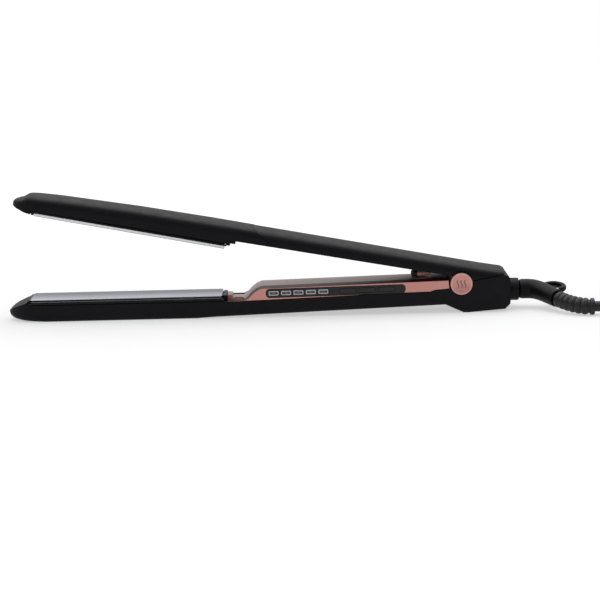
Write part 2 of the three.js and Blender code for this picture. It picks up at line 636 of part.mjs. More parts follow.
const elbow = joined(
  rodX(0, 0, ELBOW_RADIUS, COLLAR_END_X + GAP, BEND_START + 0.3, 16),
  bar(bend, 0, BOOT_START, ELBOW_RADIUS, ELBOW_END_RADIUS, 8),
  hangRing());
const [screwA, screwB] = [[43, 1.2], [54.6, 14.2]].map(([x, across]) => flat(x, across));
const screwHoles = [screwA, screwB].map((at) => rodZ(at.x, at.y, 1.15, 3, 8, 12));
const halfBox = (side) => (side > 0 ? box(0, 90, -60, 60, GAP / 2, 20) : box(0, 90, -60, 60, -20, -GAP / 2));
add(swivel, 'elbow_top', cut(elbow.intersect(toSolid(halfBox(1))), ...screwHoles), MATT_BLACK);
add(swivel, 'elbow_bottom', elbow.intersect(toSolid(halfBox(-1))), MATT_BLACK);
[screwA, screwB].forEach((at, i) => {
  add(swivel, `elbow_screw_${i + 1}`, rodZ(at.x, at.y, 0.85, 3.3, 4.9, 10), STEEL);
});
add(swivel, 'swivel_stem', joined(
  rodX(0, 0, STEM_RADIUS, 20, COLLAR_END_X, 18), rodX(0, 0, 5.6, 18, 21.5, 18)), HEAT_BLACK);

function boot() {
  const start = BOOT_START + 0.012;
  const parts = [bar(bend, start, 1, 4, 4.2, 10)];
  for (let i = 0; i < BOOT_RIBS; i += 1) {
    const from = start + 0.01 + (i * (0.93 - start)) / BOOT_RIBS;
    const radius = 4.6 + i * 0.03;
    parts.push(bar(bend, from, from + 0.036, radius, radius, 1));
  }
  parts.push(bar(bend, 0.955, 1, 4.8, 4.8, 1));
  return joined(...parts);
}
add(swivel, 'ribbed_boot', boot(), RUBBER);

// ---------------------------------------------------------------- cord, hank, tie and plug

// From here on, places are counted from the table and the middle of the handle.
const cordRoute = [
  [186.7, -31.5, 4.9], [190, -31.5, 4.85], [194, -31.3, 4.7], [198, -31, 4.45], [202, -30.6, 4.25],
  [206, -30.25, 4.05], [210, -30.05, 3.95], [213.9, -30, 3.9],
];
const tailRoute = [
  [374.8, -36, 3.9], [378, -35.9, 3.92], [381.5, -35.4, 4.05], [385, -34.4, 4.25], [389, -32.8, 4.55],
  [393, -30.95, 4.9], [397, -28.9, 5.3], [401, -26.85, 5.7], [405, -24.95, 6.1], [409, -23.25, 6.4],
  [413, -22, 6.65], [416.5, -21.3, 6.8], [420.8, -21, 6.85],
];

function cordTube(points) {
  const path = new THREE.CatmullRomCurve3(points.map((p) => new THREE.Vector3(...p)));
  const section = new THREE.Shape().absarc(0, 0, CORD_RADIUS, 0, 2 * Math.PI);
  return new THREE.ExtrudeGeometry(section, {
    extrudePath: path, steps: Math.ceil(path.getLength() / (5 * CORD_RADIUS)) * 2, curveSegments: 5,
  });
}
add(group, 'cord_run', cordTube(cordRoute), RUBBER);
add(group, 'cord_tail', cordTube(tailRoute), RUBBER);

const hankFolds = [HANK.x - HANK.straight / 2, HANK.x + HANK.straight / 2];

function hank() {
  const shape = new THREE.Shape();
  shape.absarc(hankFolds[1], HANK.y, HANK.outer, -Math.PI / 2, Math.PI / 2);
  shape.absarc(hankFolds[0], HANK.y, HANK.outer, Math.PI / 2, 1.5 * Math.PI);
  const round = new THREE.ExtrudeGeometry(shape, {
    depth: HANK.top - HANK.bottom, bevelEnabled: false, curveSegments: 10,
  }).translate(0, 0, HANK.bottom);
  const lane = 2 * CORD_RADIUS;
  const outerY = HANK.y - HANK.outer;
  const [first, last] = [cordRoute.at(-1)[0] + GAP, tailRoute[0][0] - GAP];
  return joined(
    round,
    box(first, hankFolds[0] + 1, outerY + lane, outerY + 2 * lane, HANK.bottom, HANK.bottom + lane),
    box(hankFolds[1] - 1, last, outerY, outerY + lane, HANK.bottom, HANK.bottom + lane));
}
add(group, 'cord_hank', hank(), RUBBER);

function cordTie() {
  const half = HANK.outer + 0.9;
  const outer = box(HANK.x - 3.5, HANK.x + 3.5, HANK.y - half, HANK.y + half, 0, HANK.top + 0.9);
  const innerHalf = HANK.outer + 0.3;
  return cut(
    outer,
    box(HANK.x - 5, HANK.x + 5, HANK.y - innerHalf, HANK.y + innerHalf, HANK.bottom - 0.3, HANK.top + 0.3));
}
add(group, 'cord_tie', cordTie(), RUBBER);

const PLUG = { x: 421.1, y: -21, z: 6.85, length: 35, width: 35.3, height: 13.7 };

function plugBody() {
  const { x, y, z, length, width, height } = PLUG;
  const half = width / 2;
  const plan = new THREE.Shape();
  plan.moveTo(x, y - 5);
  plan.bezierCurveTo(x + 12, y - 5.5, x + 16, y - 13, x + 24, y - half + 1);
  plan.lineTo(x + length, y - 13);
  plan.lineTo(x + length, y + 13);
  plan.lineTo(x + 24, y + half - 1);
  plan.bezierCurveTo(x + 16, y + 13, x + 12, y + 5.5, x, y + 5);
  const body = new THREE.ExtrudeGeometry(plan, {
    depth: height - 2, bevelEnabled: true, bevelThickness: 1, bevelSize: 0.8, bevelOffset: -0.8,
    bevelSegments: 1, curveSegments: 8,
  });
  return body.translate(0, 0, z - height / 2 + 1);
}
add(group, 'plug_body', plugBody(), RUBBER);
for (const [name, side] of [['left', -1], ['right', 1]]) {
  const from = PLUG.x + PLUG.length + GAP;
  add(group, `plug_pin_${name}`, rodX(PLUG.y + side * 9.3, PLUG.z, 2, from, from + 19, 14), STEEL);
}

export default group;
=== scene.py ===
# A slim salon flat iron on a pale floor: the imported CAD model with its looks.
# Places come from the frame, in metres: +X towards the cord, +Y across, +Z up, floor at Z = 0.

import json
import math

import bmesh
import bpy
import numpy as np
from mathutils import Matrix, Vector
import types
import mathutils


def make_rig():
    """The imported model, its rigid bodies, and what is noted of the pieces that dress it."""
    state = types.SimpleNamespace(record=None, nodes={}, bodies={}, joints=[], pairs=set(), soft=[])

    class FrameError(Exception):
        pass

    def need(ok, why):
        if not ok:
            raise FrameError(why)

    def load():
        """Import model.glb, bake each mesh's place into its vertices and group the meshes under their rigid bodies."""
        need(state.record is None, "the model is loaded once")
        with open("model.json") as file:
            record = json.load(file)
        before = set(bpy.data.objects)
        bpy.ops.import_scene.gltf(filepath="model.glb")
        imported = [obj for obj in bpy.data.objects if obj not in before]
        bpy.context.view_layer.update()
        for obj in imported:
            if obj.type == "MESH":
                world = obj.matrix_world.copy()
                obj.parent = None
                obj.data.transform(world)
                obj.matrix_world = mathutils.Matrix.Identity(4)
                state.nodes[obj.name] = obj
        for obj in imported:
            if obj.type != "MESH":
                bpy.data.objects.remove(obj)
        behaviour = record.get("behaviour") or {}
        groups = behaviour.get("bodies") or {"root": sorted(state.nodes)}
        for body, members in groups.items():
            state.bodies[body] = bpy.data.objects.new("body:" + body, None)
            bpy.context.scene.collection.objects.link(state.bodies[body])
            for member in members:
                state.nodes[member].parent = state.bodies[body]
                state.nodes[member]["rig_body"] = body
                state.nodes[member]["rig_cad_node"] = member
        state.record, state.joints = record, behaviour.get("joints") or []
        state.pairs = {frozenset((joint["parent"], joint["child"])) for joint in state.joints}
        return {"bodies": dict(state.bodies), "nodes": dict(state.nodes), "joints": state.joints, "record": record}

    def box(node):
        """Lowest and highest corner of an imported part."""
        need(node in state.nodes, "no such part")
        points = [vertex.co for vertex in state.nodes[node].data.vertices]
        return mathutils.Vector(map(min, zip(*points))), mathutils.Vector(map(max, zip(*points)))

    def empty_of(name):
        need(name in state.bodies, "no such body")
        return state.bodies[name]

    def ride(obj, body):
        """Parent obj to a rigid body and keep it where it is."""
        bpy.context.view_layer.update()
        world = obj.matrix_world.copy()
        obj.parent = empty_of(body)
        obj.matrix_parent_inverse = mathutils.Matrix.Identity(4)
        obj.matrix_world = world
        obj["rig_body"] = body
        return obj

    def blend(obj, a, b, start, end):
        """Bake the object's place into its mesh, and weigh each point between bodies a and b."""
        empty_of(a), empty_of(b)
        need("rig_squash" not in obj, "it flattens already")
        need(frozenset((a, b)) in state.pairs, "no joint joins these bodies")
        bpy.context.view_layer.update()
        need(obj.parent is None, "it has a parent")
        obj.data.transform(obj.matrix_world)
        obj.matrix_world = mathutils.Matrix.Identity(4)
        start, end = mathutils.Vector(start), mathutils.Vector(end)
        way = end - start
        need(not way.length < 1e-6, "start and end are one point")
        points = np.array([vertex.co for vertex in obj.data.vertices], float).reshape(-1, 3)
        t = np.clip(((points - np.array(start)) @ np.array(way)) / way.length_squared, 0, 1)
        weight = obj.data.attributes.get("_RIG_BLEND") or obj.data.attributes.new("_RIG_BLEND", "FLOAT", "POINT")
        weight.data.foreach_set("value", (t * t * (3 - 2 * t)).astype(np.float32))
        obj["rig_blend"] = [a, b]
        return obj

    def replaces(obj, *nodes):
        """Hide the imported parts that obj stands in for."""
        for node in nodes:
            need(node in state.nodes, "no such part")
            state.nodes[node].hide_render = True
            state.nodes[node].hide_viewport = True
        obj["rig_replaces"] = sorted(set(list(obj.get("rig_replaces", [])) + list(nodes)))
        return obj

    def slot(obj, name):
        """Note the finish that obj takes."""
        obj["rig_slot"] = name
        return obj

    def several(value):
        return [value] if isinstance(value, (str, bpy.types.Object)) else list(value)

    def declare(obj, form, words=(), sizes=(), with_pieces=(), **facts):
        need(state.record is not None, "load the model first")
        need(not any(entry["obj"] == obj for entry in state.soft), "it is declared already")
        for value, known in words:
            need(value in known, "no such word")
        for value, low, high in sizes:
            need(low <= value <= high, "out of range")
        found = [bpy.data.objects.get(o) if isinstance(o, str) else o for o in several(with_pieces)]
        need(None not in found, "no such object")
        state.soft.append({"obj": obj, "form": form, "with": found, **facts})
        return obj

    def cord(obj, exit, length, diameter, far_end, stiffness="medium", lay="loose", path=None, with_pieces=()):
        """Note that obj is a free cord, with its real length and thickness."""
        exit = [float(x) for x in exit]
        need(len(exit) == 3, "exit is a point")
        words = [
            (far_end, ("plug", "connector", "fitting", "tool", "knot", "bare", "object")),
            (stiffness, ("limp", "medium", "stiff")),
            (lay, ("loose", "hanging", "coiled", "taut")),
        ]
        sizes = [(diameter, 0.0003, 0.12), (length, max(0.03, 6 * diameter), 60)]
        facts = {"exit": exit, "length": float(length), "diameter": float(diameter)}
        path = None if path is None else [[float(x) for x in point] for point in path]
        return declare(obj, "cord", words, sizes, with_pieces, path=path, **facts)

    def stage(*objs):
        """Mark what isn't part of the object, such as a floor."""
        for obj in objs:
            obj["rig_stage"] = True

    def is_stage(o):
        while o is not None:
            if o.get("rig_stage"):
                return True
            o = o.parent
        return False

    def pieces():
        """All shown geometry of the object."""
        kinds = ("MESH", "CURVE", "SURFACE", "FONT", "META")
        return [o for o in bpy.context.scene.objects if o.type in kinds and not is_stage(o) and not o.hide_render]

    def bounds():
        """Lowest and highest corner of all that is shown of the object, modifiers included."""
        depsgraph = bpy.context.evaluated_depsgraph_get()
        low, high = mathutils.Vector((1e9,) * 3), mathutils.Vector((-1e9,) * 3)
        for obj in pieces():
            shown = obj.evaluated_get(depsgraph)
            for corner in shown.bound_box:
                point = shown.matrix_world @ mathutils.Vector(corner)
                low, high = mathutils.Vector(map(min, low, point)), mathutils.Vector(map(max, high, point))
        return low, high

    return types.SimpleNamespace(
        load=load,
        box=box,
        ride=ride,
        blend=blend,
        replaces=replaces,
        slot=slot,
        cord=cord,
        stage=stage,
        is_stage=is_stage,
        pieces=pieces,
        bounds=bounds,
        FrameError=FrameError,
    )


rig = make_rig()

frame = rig.load()
cad_low, cad_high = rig.bounds()
NODES = frame["nodes"]
JOINTS = {joint["name"]: joint for joint in frame["joints"]}

# ---------------------------------------------------------------- driving values

MM = 0.001
TOWER_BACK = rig.box("wire_tower")[1].x
HINGE = Vector(JOINTS["jaw"]["pos_m"])
JAW_OPEN = math.radians(-JOINTS["jaw"]["range_deg"][0])
SWIVEL = Vector(JOINTS["cord_swivel"]["pos_m"])
ELBOW_TILT = math.radians(10.3)

CORD_RADIUS = 3 * MM
BEND_START = 39 * MM  # these four are counted from the hinge along X, as in the CAD
BOOT_END = 73.4 * MM
ELBOW_REACH = 32 * MM
BOOT_SHARE = 0.5  # of the bend, where the boot takes over

# ---------------------------------------------------------------- camera

CAMERA_ANGLES = (0.20, 9.857, -1.315)  # yaw, elevation and roll in degrees
CAMERA_DISTANCE = 1.2
CAMERA_TARGET = (0.02054, 0, 0.00699)
CAMERA_LENS = 124.35
CAMERA_SENSOR = 36


def make_camera():
    """A long lens, almost side on, a little above the iron."""
    yaw, elevation, roll = (math.radians(a) for a in CAMERA_ANGLES)
    target = Vector(CAMERA_TARGET)
    forward = Vector((
        math.sin(yaw) * math.cos(elevation), math.cos(yaw) * math.cos(elevation), -math.sin(elevation)))
    right = Vector((math.cos(yaw), -math.sin(yaw), 0))
    up = right.cross(forward)
    rolled_right = right * math.cos(roll) + up * math.sin(roll)
    rolled_up = up * math.cos(roll) - right * math.sin(roll)
    data = bpy.data.cameras.new("camera")
    data.lens = CAMERA_LENS
    data.sensor_width = CAMERA_SENSOR
    data.clip_start = 0.05
    data.clip_end = 200
    camera = bpy.data.objects.new("camera", data)
    place = target - forward * CAMERA_DISTANCE
    camera.matrix_world = Matrix((
        (rolled_right.x, rolled_up.x, -forward.x, place.x),
        (rolled_right.y, rolled_up.y, -forward.y, place.y),
        (rolled_right.z, rolled_up.z, -forward.z, place.z),
        (0, 0, 0, 1)))
    bpy.context.scene.collection.objects.link(camera)
    bpy.context.scene.camera = camera


make_camera()

# ---------------------------------------------------------------- mesh helpers


def piece(name, points, faces, body, material, stands_for=(), slot=None, sharp=35):
    """A mesh piece that rides on a body; edges sharper than `sharp` degrees stay crisp."""
    mesh = bpy.data.meshes.new(name)
    mesh.from_pydata([tuple(p) for p in points], [], [tuple(f) for f in faces])
    obj = bpy.data.objects.new(name, mesh)
    bpy.context.scene.collection.objects.link(obj)
    return settle(obj, body, material, stands_for, slot, sharp)


def settle(obj, body, material, stands_for=(), slot=None, sharp=35):
    """Closes a new mesh object: outward faces, smooth shading, material, body and replaced nodes."""
    work = bmesh.new()
    work.from_mesh(obj.data)
    bmesh.ops.recalc_face_normals(work, faces=work.faces)
    for edge in work.edges:
        edge.smooth = len(edge.link_faces) == 2 and edge.calc_face_angle() < math.radians(sharp)
    for face in work.faces:
        face.smooth = True
    work.to_mesh(obj.data)
    work.free()
    obj.data.materials.clear()
    obj.data.materials.append(material)
    if body:
        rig.ride(obj, body)
    if stands_for:
        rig.replaces(obj, *stands_for)
    if slot:
        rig.slot(obj, slot)
    return obj


def loft(rings, caps=True):
    """Points and faces of a skin over closed rings with equal counts, its ends closed by flat faces."""
    count = len(rings[0])
    points = [p for ring in rings for p in ring]
    faces = []
    for r in range(len(rings) - 1):
        for i in range(count):
            j = (i + 1) % count
            faces.append((r * count + i, r * count + j, (r + 1) * count + j, (r + 1) * count + i))
    if caps:
        faces.append(tuple(range(count)))
        faces.append(tuple((len(rings) - 1) * count + i for i in range(count)))
    return points, faces


def frames_along(points, up=Vector((0, 0, 1))):
    """Tangent, side and up at each point of a line, carried along it without twist."""
    points = [Vector(p) for p in points]
    frames = []
    side = None
    for i, point in enumerate(points):
        ahead = points[min(i + 1, len(points) - 1)]
        behind = points[max(i - 1, 0)]
        tangent = (ahead - behind).normalized()
        if side is None:
            side = up.cross(tangent).normalized()
        side = (side - tangent * side.dot(tangent)).normalized()
        frames.append((point, tangent, side, tangent.cross(side)))
    return frames


def sweep_rings(line, radii, sides):
    """Round rings along a line, one radius for each point."""
    rings = []
    for (point, _, side, up), radius in zip(frames_along(line), radii):
        angles = [2 * math.pi * k / sides for k in range(sides)]
        rings.append([point + side * (radius * math.cos(a)) + up * (radius * math.sin(a)) for a in angles])
    return rings


def smooth_line(points, spacing):
    """Catmull-Rom curve through the points, cut into steps of about `spacing`."""
    pts = [Vector(p) for p in points]
    pts = [pts[0] * 2 - pts[1], *pts, pts[-1] * 2 - pts[-2]]
    line = []
    for i in range(1, len(pts) - 2):
        a, b, c, d = pts[i - 1:i + 3]
        steps = max(1, round((c - b).length / spacing))
        for k in range(steps):
            t = k / steps
            line.append(0.5 * (
                2 * b + (c - a) * t + (2 * a - 5 * b + 4 * c - d) * t * t + (3 * b - a - 3 * c + d) * t ** 3))
    line.append(pts[-2])
    return line


def rounded_outline(width, height, radius, steps=5):
    """Rounded rectangle round the origin, counter-clockwise."""
    corners = []
    for quarter in range(4):
        cx = (width / 2 - radius) * (1 if quarter in (0, 3) else -1)
        cy = (height / 2 - radius) * (1 if quarter in (0, 1) else -1)
        for k in range(steps + 1):
            a = math.pi / 2 * (quarter + k / steps)
            corners.append((cx + radius * math.cos(a), cy + radius * math.sin(a)))
    return corners


def modify(obj, kind, **values):
    modifier = obj.modifiers.new(kind.lower(), kind)
    for key, value in values.items():
        setattr(modifier, key, value)
    return modifier


def soften(obj, width, segments=3, angle=30):
    """Rounds a piece's edges."""
    modify(obj, "BEVEL", width=width, segments=segments, limit_method="ANGLE",
           angle_limit=math.radians(angle), harden_normals=True, miter_outer="MITER_ARC")


# ---------------------------------------------------------------- materials


class Nodes:
    """Short forms for building a procedural material."""

    def __init__(self, name):
        self.material = bpy.data.materials.new(name)
        self.material.use_nodes = True
        self.tree = self.material.node_tree
        self.shader = self.tree.nodes["Principled BSDF"]
        self.place = self.tree.nodes.new("ShaderNodeTexCoord").outputs["Object"]

    def node(self, kind, **values):
        made = self.tree.nodes.new(kind)
        for key, value in values.items():
            setattr(made, key, value)
        return made

    def link(self, a, b):
        self.tree.links.new(a, b)

    def stretched(self, scale):
        mapping = self.node("ShaderNodeMapping")
        mapping.inputs["Scale"].default_value = scale
        self.link(self.place, mapping.inputs["Vector"])
        return mapping.outputs["Vector"]

    def noise(self, scale, detail=3.0, vector=None, rough=0.5):
        made = self.node("ShaderNodeTexNoise")
        made.inputs["Scale"].default_value = scale
        made.inputs["Detail"].default_value = detail
        made.inputs["Roughness"].default_value = rough
        self.link(vector or self.place, made.inputs["Vector"])
        return made.outputs["Fac"]

    def between(self, value, low, high, from_low=0.3, from_high=0.7):
        made = self.node("ShaderNodeMapRange")
        made.inputs["From Min"].default_value = from_low
        made.inputs["From Max"].default_value = from_high
        made.inputs["To Min"].default_value = low
        made.inputs["To Max"].default_value = high
        self.link(value, made.inputs["Value"])
        return made.outputs["Result"]

    def colour(self, value, low, high):
        made = self.node("ShaderNodeMix", data_type="RGBA")
        made.inputs[6].default_value = (*low, 1)
        made.inputs[7].default_value = (*high, 1)
        self.link(value, made.inputs[0])
        return made.outputs[2]

    def mixed(self, value, low, high):
        """Like colour(), but either end may be a colour made by other nodes."""
        made = self.node("ShaderNodeMix", data_type="RGBA")
        for socket, end in ((made.inputs[6], low), (made.inputs[7], high)):
            if isinstance(end, tuple):
                socket.default_value = (*end, 1)
            else:
                self.link(end, socket)
        self.link(value, made.inputs[0])
        return made.outputs[2]

    def bump(self, value, strength, distance, before=None):
        made = self.node("ShaderNodeBump")
        made.inputs["Strength"].default_value = strength
        made.inputs["Distance"].default_value = distance
        self.link(value, made.inputs["Height"])
        if before:
            self.link(before, made.inputs["Normal"])
        return made.outputs["Normal"]

    def set(self, **values):
        names = {"roughness": "Roughness", "metallic": "Metallic", "specular": "Specular IOR Level",
                 "coat": "Coat Weight", "coat_roughness": "Coat Roughness", "normal": "Normal",
                 "base": "Base Color", "tint": "Specular Tint", "emission": "Emission Strength"}
        for key, value in values.items():
            socket = self.shader.inputs[names[key]]
            if isinstance(value, bpy.types.NodeSocket):
                self.link(value, socket)
            elif isinstance(value, tuple):
                socket.default_value = (*value, 1)
            else:
                socket.default_value = value
        return self.material


NEUTRAL = (1, 1, 1)


def plastic(name, dark, light, roughness, specular=0.5, grain=0.03, grain_scale=5200, tint=NEUTRAL):
    """Moulded plastic: fine spark-erosion grain, faint cloudiness, handling shine."""
    n = Nodes(name)
    cloud = n.noise(60, 4)
    rough = n.between(n.noise(240, 5), roughness - 0.05, roughness + 0.06)
    fine = n.noise(grain_scale, 2, rough=0.7)
    normal = n.bump(n.noise(900, 2), 0.05, 0.00005)
    return n.set(
        base=n.colour(n.between(cloud, 0, 1), dark, light), roughness=rough, specular=specular,
        normal=n.bump(fine, 0.35, grain * MM, normal), tint=tint)


def metal(name, dark, light, roughness, brushed=(30, 2400, 2400), metallic=1.0, depth=0.006, strength=0.3):
    """Metal with a brushed or rolled grain along X."""
    n = Nodes(name)
    streaks = n.noise(1.0, 4, n.stretched(brushed))
    cloud = n.noise(45, 3)
    rough = n.between(streaks, roughness - 0.05, roughness + 0.05)
    return n.set(
        base=n.colour(n.between(cloud, 0, 1), dark, light), metallic=metallic, roughness=rough,
        normal=n.bump(streaks, strength, depth * MM))


def rubber(name, dark, light, roughness=0.6):
    n = Nodes(name)
    cloud = n.noise(120, 4)
    fine = n.noise(3600, 3, rough=0.65)
    return n.set(
        base=n.colour(n.between(cloud, 0, 1), dark, light), specular=0.4,
        roughness=n.between(n.noise(500, 4), roughness - 0.08, roughness + 0.08),
        normal=n.bump(fine, 0.4, 0.03 * MM))


def board_green():
    """Solder mask with faint copper tracks under it."""
    n = Nodes("solder_mask")
    tracks = n.node("ShaderNodeTexBrick")
    tracks.inputs["Scale"].default_value = 260
    tracks.inputs["Color1"].default_value = (0.01, 0.13, 0.05, 1)
    tracks.inputs["Color2"].default_value = (0.012, 0.16, 0.06, 1)
    tracks.inputs["Mortar"].default_value = (0.03, 0.26, 0.1, 1)
    n.link(n.place, tracks.inputs["Vector"])
    normal = n.bump(tracks.outputs["Fac"], 0.3, 0.00003)
    return n.set(base=tracks.outputs["Color"], roughness=0.35, normal=normal)


PURPLISH = (1.0, 0.95, 1.03)
MATT = plastic(
    "soft_touch_black", (0.002, 0.0019, 0.0022), (0.0032, 0.003, 0.0034), 0.45, 0.14, tint=PURPLISH)
HEAT = plastic("heat_proof_black", (0.002, 0.002, 0.002), (0.0032, 0.0032, 0.0032), 0.4, 0.2)
PANEL = plastic("panel_black", (0.004, 0.004, 0.005), (0.006, 0.006, 0.007), 0.25, 0.3, grain=0.004)
KEYS = plastic("key_black", (0.003, 0.003, 0.004), (0.005, 0.005, 0.006), 0.22, 0.35, grain=0.003)
BEZEL = plastic("window_bezel", (0.40, 0.41, 0.43), (0.48, 0.49, 0.51), 0.35, 0.5, grain=0.004)
PANE = plastic("window_pane", (0.03, 0.033, 0.04), (0.042, 0.046, 0.055), 0.15, 0.4, grain=0.002)
MARKING = plastic("printed_grey", (0.19, 0.185, 0.19), (0.23, 0.225, 0.23), 0.45, 0.4)
FAINT = plastic("printed_dark_grey", (0.016, 0.016, 0.018), (0.022, 0.022, 0.024), 0.4, 0.3)
ROSE = metal("rose_gold", (0.56, 0.255, 0.225), (0.62, 0.29, 0.255), 0.38, metallic=0.35, strength=0.15)
ROSE_MARK = metal("rose_gold_engraving", (0.16, 0.10, 0.09), (0.2, 0.12, 0.11), 0.5, metallic=0.3)
# painted highlight: a lighter rose for the hinge disc's rim
ROSE_RIM_HIGHLIGHT = metal("rose_gold_rim", (0.68, 0.34, 0.3), (0.74, 0.38, 0.34), 0.3, metallic=0.35)
# painted dark reflection for the front face of the rose-gold wire guide
TOWER_FRONT_DARK_REFLECTION = plastic("wire_guide_mouth", (0.02, 0.011, 0.01), (0.035, 0.02, 0.018), 0.5, 0.3)
PLATE = metal("plate_coating", (0.345, 0.355, 0.40), (0.38, 0.39, 0.44), 0.3, strength=0.12)
# painted highlight: near-white colour for the upper plate's side edge, in place of the light it reflects
PLATE_EDGE_HIGHLIGHT = metal("plate_edge", (0.90, 0.90, 0.92), (0.96, 0.96, 0.98), 0.4, metallic=0.2, strength=0.1)
PLATE_LIP = metal("plate_lip", (0.17, 0.17, 0.18), (0.22, 0.22, 0.23), 0.4, metallic=0.3, strength=0.1)
STEEL = metal("steel", (0.4, 0.4, 0.41), (0.5, 0.5, 0.5), 0.3)
CERAMIC = plastic("ceramic", (0.68, 0.66, 0.6), (0.78, 0.76, 0.7), 0.7, 0.4, grain=0.05)
SILICONE = rubber("silicone", (0.45, 0.1, 0.04), (0.52, 0.13, 0.05), 0.6)
BOARD = board_green()
RUBBER = rubber("cord_pvc", (0.004, 0.004, 0.0043), (0.0065, 0.0065, 0.0068), 0.45)
BOOT = rubber("boot_rubber", (0.003, 0.003, 0.0033), (0.0055, 0.0055, 0.0058), 0.5)


def cover_material():
    """Rose-gold lacquer with painted light: the top painted greyer as a painted reflection of the pale walls, the
    shoulders painted dark as a painted reflection of the black upper arm, and the top behind the tower painted black
    as a painted shadow under the upper arm.
    """
    n = Nodes("rose_gold_cover")
    split = n.node("ShaderNodeSeparateXYZ")
    n.link(n.place, split.inputs["Vector"])
    normal = n.node("ShaderNodeSeparateXYZ")
    n.link(n.node("ShaderNodeNewGeometry").outputs["True Normal"], normal.inputs["Vector"])
    across = n.node("ShaderNodeMath", operation="ABSOLUTE")
    n.link(split.outputs["Y"], across.inputs[0])
    # mask of the shoulder band, which is painted dark as a painted reflection of the black upper arm
    shoulder_dark_reflection_mask = n.between(across.outputs[0], 0, 1, 9.6 * MM, 9.9 * MM)
    upward = n.between(normal.outputs["Z"], 0, 1, 0.2, 0.3)
    # mask behind the tower, where the cover top is painted black as a painted shadow under the upper arm
    behind = n.between(split.outputs["X"], 0, 1, TOWER_BACK, TOWER_BACK + MM)
    cloud = n.between(n.noise(45, 3), 0, 1)
    side = n.colour(cloud, (0.56, 0.255, 0.225), (0.62, 0.29, 0.255))
    # painted reflection: the greyish top colour stands in for the pale walls mirrored in the top face
    top = n.mixed(behind, n.colour(cloud, (0.44, 0.34, 0.325), (0.48, 0.375, 0.36)), (0.01, 0.009, 0.009))
    # the shoulders painted near black as a painted dark reflection, over the painted top
    painted_reflection_and_shadow = n.mixed(shoulder_dark_reflection_mask, top, (0.02, 0.004, 0.0035))
    streaks = n.noise(1.0, 4, n.stretched((30, 2400, 2400)))
    return n.set(
        base=n.mixed(upward, side, painted_reflection_and_shadow), metallic=0.35, specular=0.25,
        roughness=n.between(streaks, 0.33, 0.43), normal=n.bump(streaks, 0.15, 0.006 * MM))


SLOT_LOOKS = {
    "matt_black": MATT, "heat_black": HEAT, "rose": ROSE, "gloss_black": PANEL, "window_grey": BEZEL,
    "plate": PLATE, "steel": STEEL, "ceramic": CERAMIC, "silicone": SILICONE, "circuit_board": BOARD,
    "cord_rubber": RUBBER,
}

# ---------------------------------------------------------------- CAD nodes kept as they are

EDGE_WIDTHS = {
    "lower_shell": 0.45, "upper_front_shell": 0.45, "upper_handle_shell": 0.45, "swivel_collar": 0.5,
    "handle_cover": 0.3, "wire_tower": 0.5, "lower_plate": 0.25, "upper_plate": 0.25,
    "lower_plate_carrier": 0.3, "upper_plate_carrier": 0.3, "control_panel": 0.25,
}


def finish_node(name, look):
    """Gives a CAD node its material, welds its facets together and rounds its edges."""
    obj = NODES[name]
    obj.data.materials.clear()
    obj.data.materials.append(look)
    if "custom_normal" in obj.data.attributes:
        obj.data.attributes.remove(obj.data.attributes["custom_normal"])
    obj.data.polygons.foreach_set("use_smooth", [True] * len(obj.data.polygons))
    modify(obj, "WELD", merge_threshold=0.000005)
    if name != "upper_inner_cover":  # merging its faces covers part of the slot for the wire guide
        modify(obj, "DECIMATE", decimate_type="DISSOLVE", angle_limit=math.radians(0.6))
    soften(obj, EDGE_WIDTHS.get(name, 0.15) * MM)


NODE_LOOKS = {
    "handle_cover": cover_material(), "button_power": KEYS, "button_minus": KEYS, "button_plus": KEYS,
}


def finish_nodes():
    for part in frame["record"]["subparts"]:
        node = part["node"]
        finish_node(node, NODE_LOOKS.get(node, SLOT_LOOKS[part["material_slot"]]))


finish_nodes()

# ---------------------------------------------------------------- heating plates


def paint(obj, looks, choose):
    """Several materials on one piece: choose(face) gives the index of a face's look."""
    for look in looks:
        if look.name not in obj.data.materials:
            obj.data.materials.append(look)
    for face in obj.data.polygons:
        face.material_index = choose(face)


def plate_rings(half_section, x0, x1, place):
    """Rings of a bar along X from its half section, with its four corners rounded in plan."""
    ends = [(0, 1.2), (0.25, 0.6), (0.7, 0.2), (1.4, 0)]
    stations = [(x0 + d, shrink) for d, shrink in ends] + [(x1 - d, shrink) for d, shrink in reversed(ends)]
    rings = []
    for x, shrink in stations:
        right = [(max(0, y - shrink), z) for y, z in half_section]
        left = [(-y, z) for y, z in reversed(right)]
        rings.append([place(x, y, z) for y, z in right + left])
    return rings


def lower_plate():
    """Thin coated face over a dark undercut, with a thin grey lip below it."""
    top = -4
    section = [(12.15, 0), (12.5, -0.15), (12.5, -0.35), (11.7, -0.45), (11.7, -1.2), (12.45, -1.2),
               (12.45, -1.7), (12.2, -1.85), (10.9, -1.9), (10.9, -3.0)]
    looks = [PLATE, PLATE, HEAT, HEAT, HEAT, PLATE_LIP, PLATE_LIP, HEAT, HEAT]
    plate_body(section, looks, "lower_plate", top, lambda x, y, z: HINGE + Vector((x, y, z)) * MM)


def upper_plate():
    """Side edge painted near white as a painted highlight, above the coated, rounded face."""
    face = -3.7
    section = [(11.9, 0), (12.3, 0.15), (12.5, 0.5), (12.5, 1.85), (12.3, 1.9), (10.9, 1.9), (10.9, 3.0)]
    looks = [PLATE, PLATE, PLATE_EDGE_HIGHLIGHT, PLATE_EDGE_HIGHLIGHT, HEAT, HEAT]
    c, s = math.cos(JAW_OPEN), math.sin(JAW_OPEN)
    plate_body(section, looks, "upper_plate", face,
               lambda x, y, z: HINGE + Vector((x * c + z * s, y, z * c - x * s)) * MM)


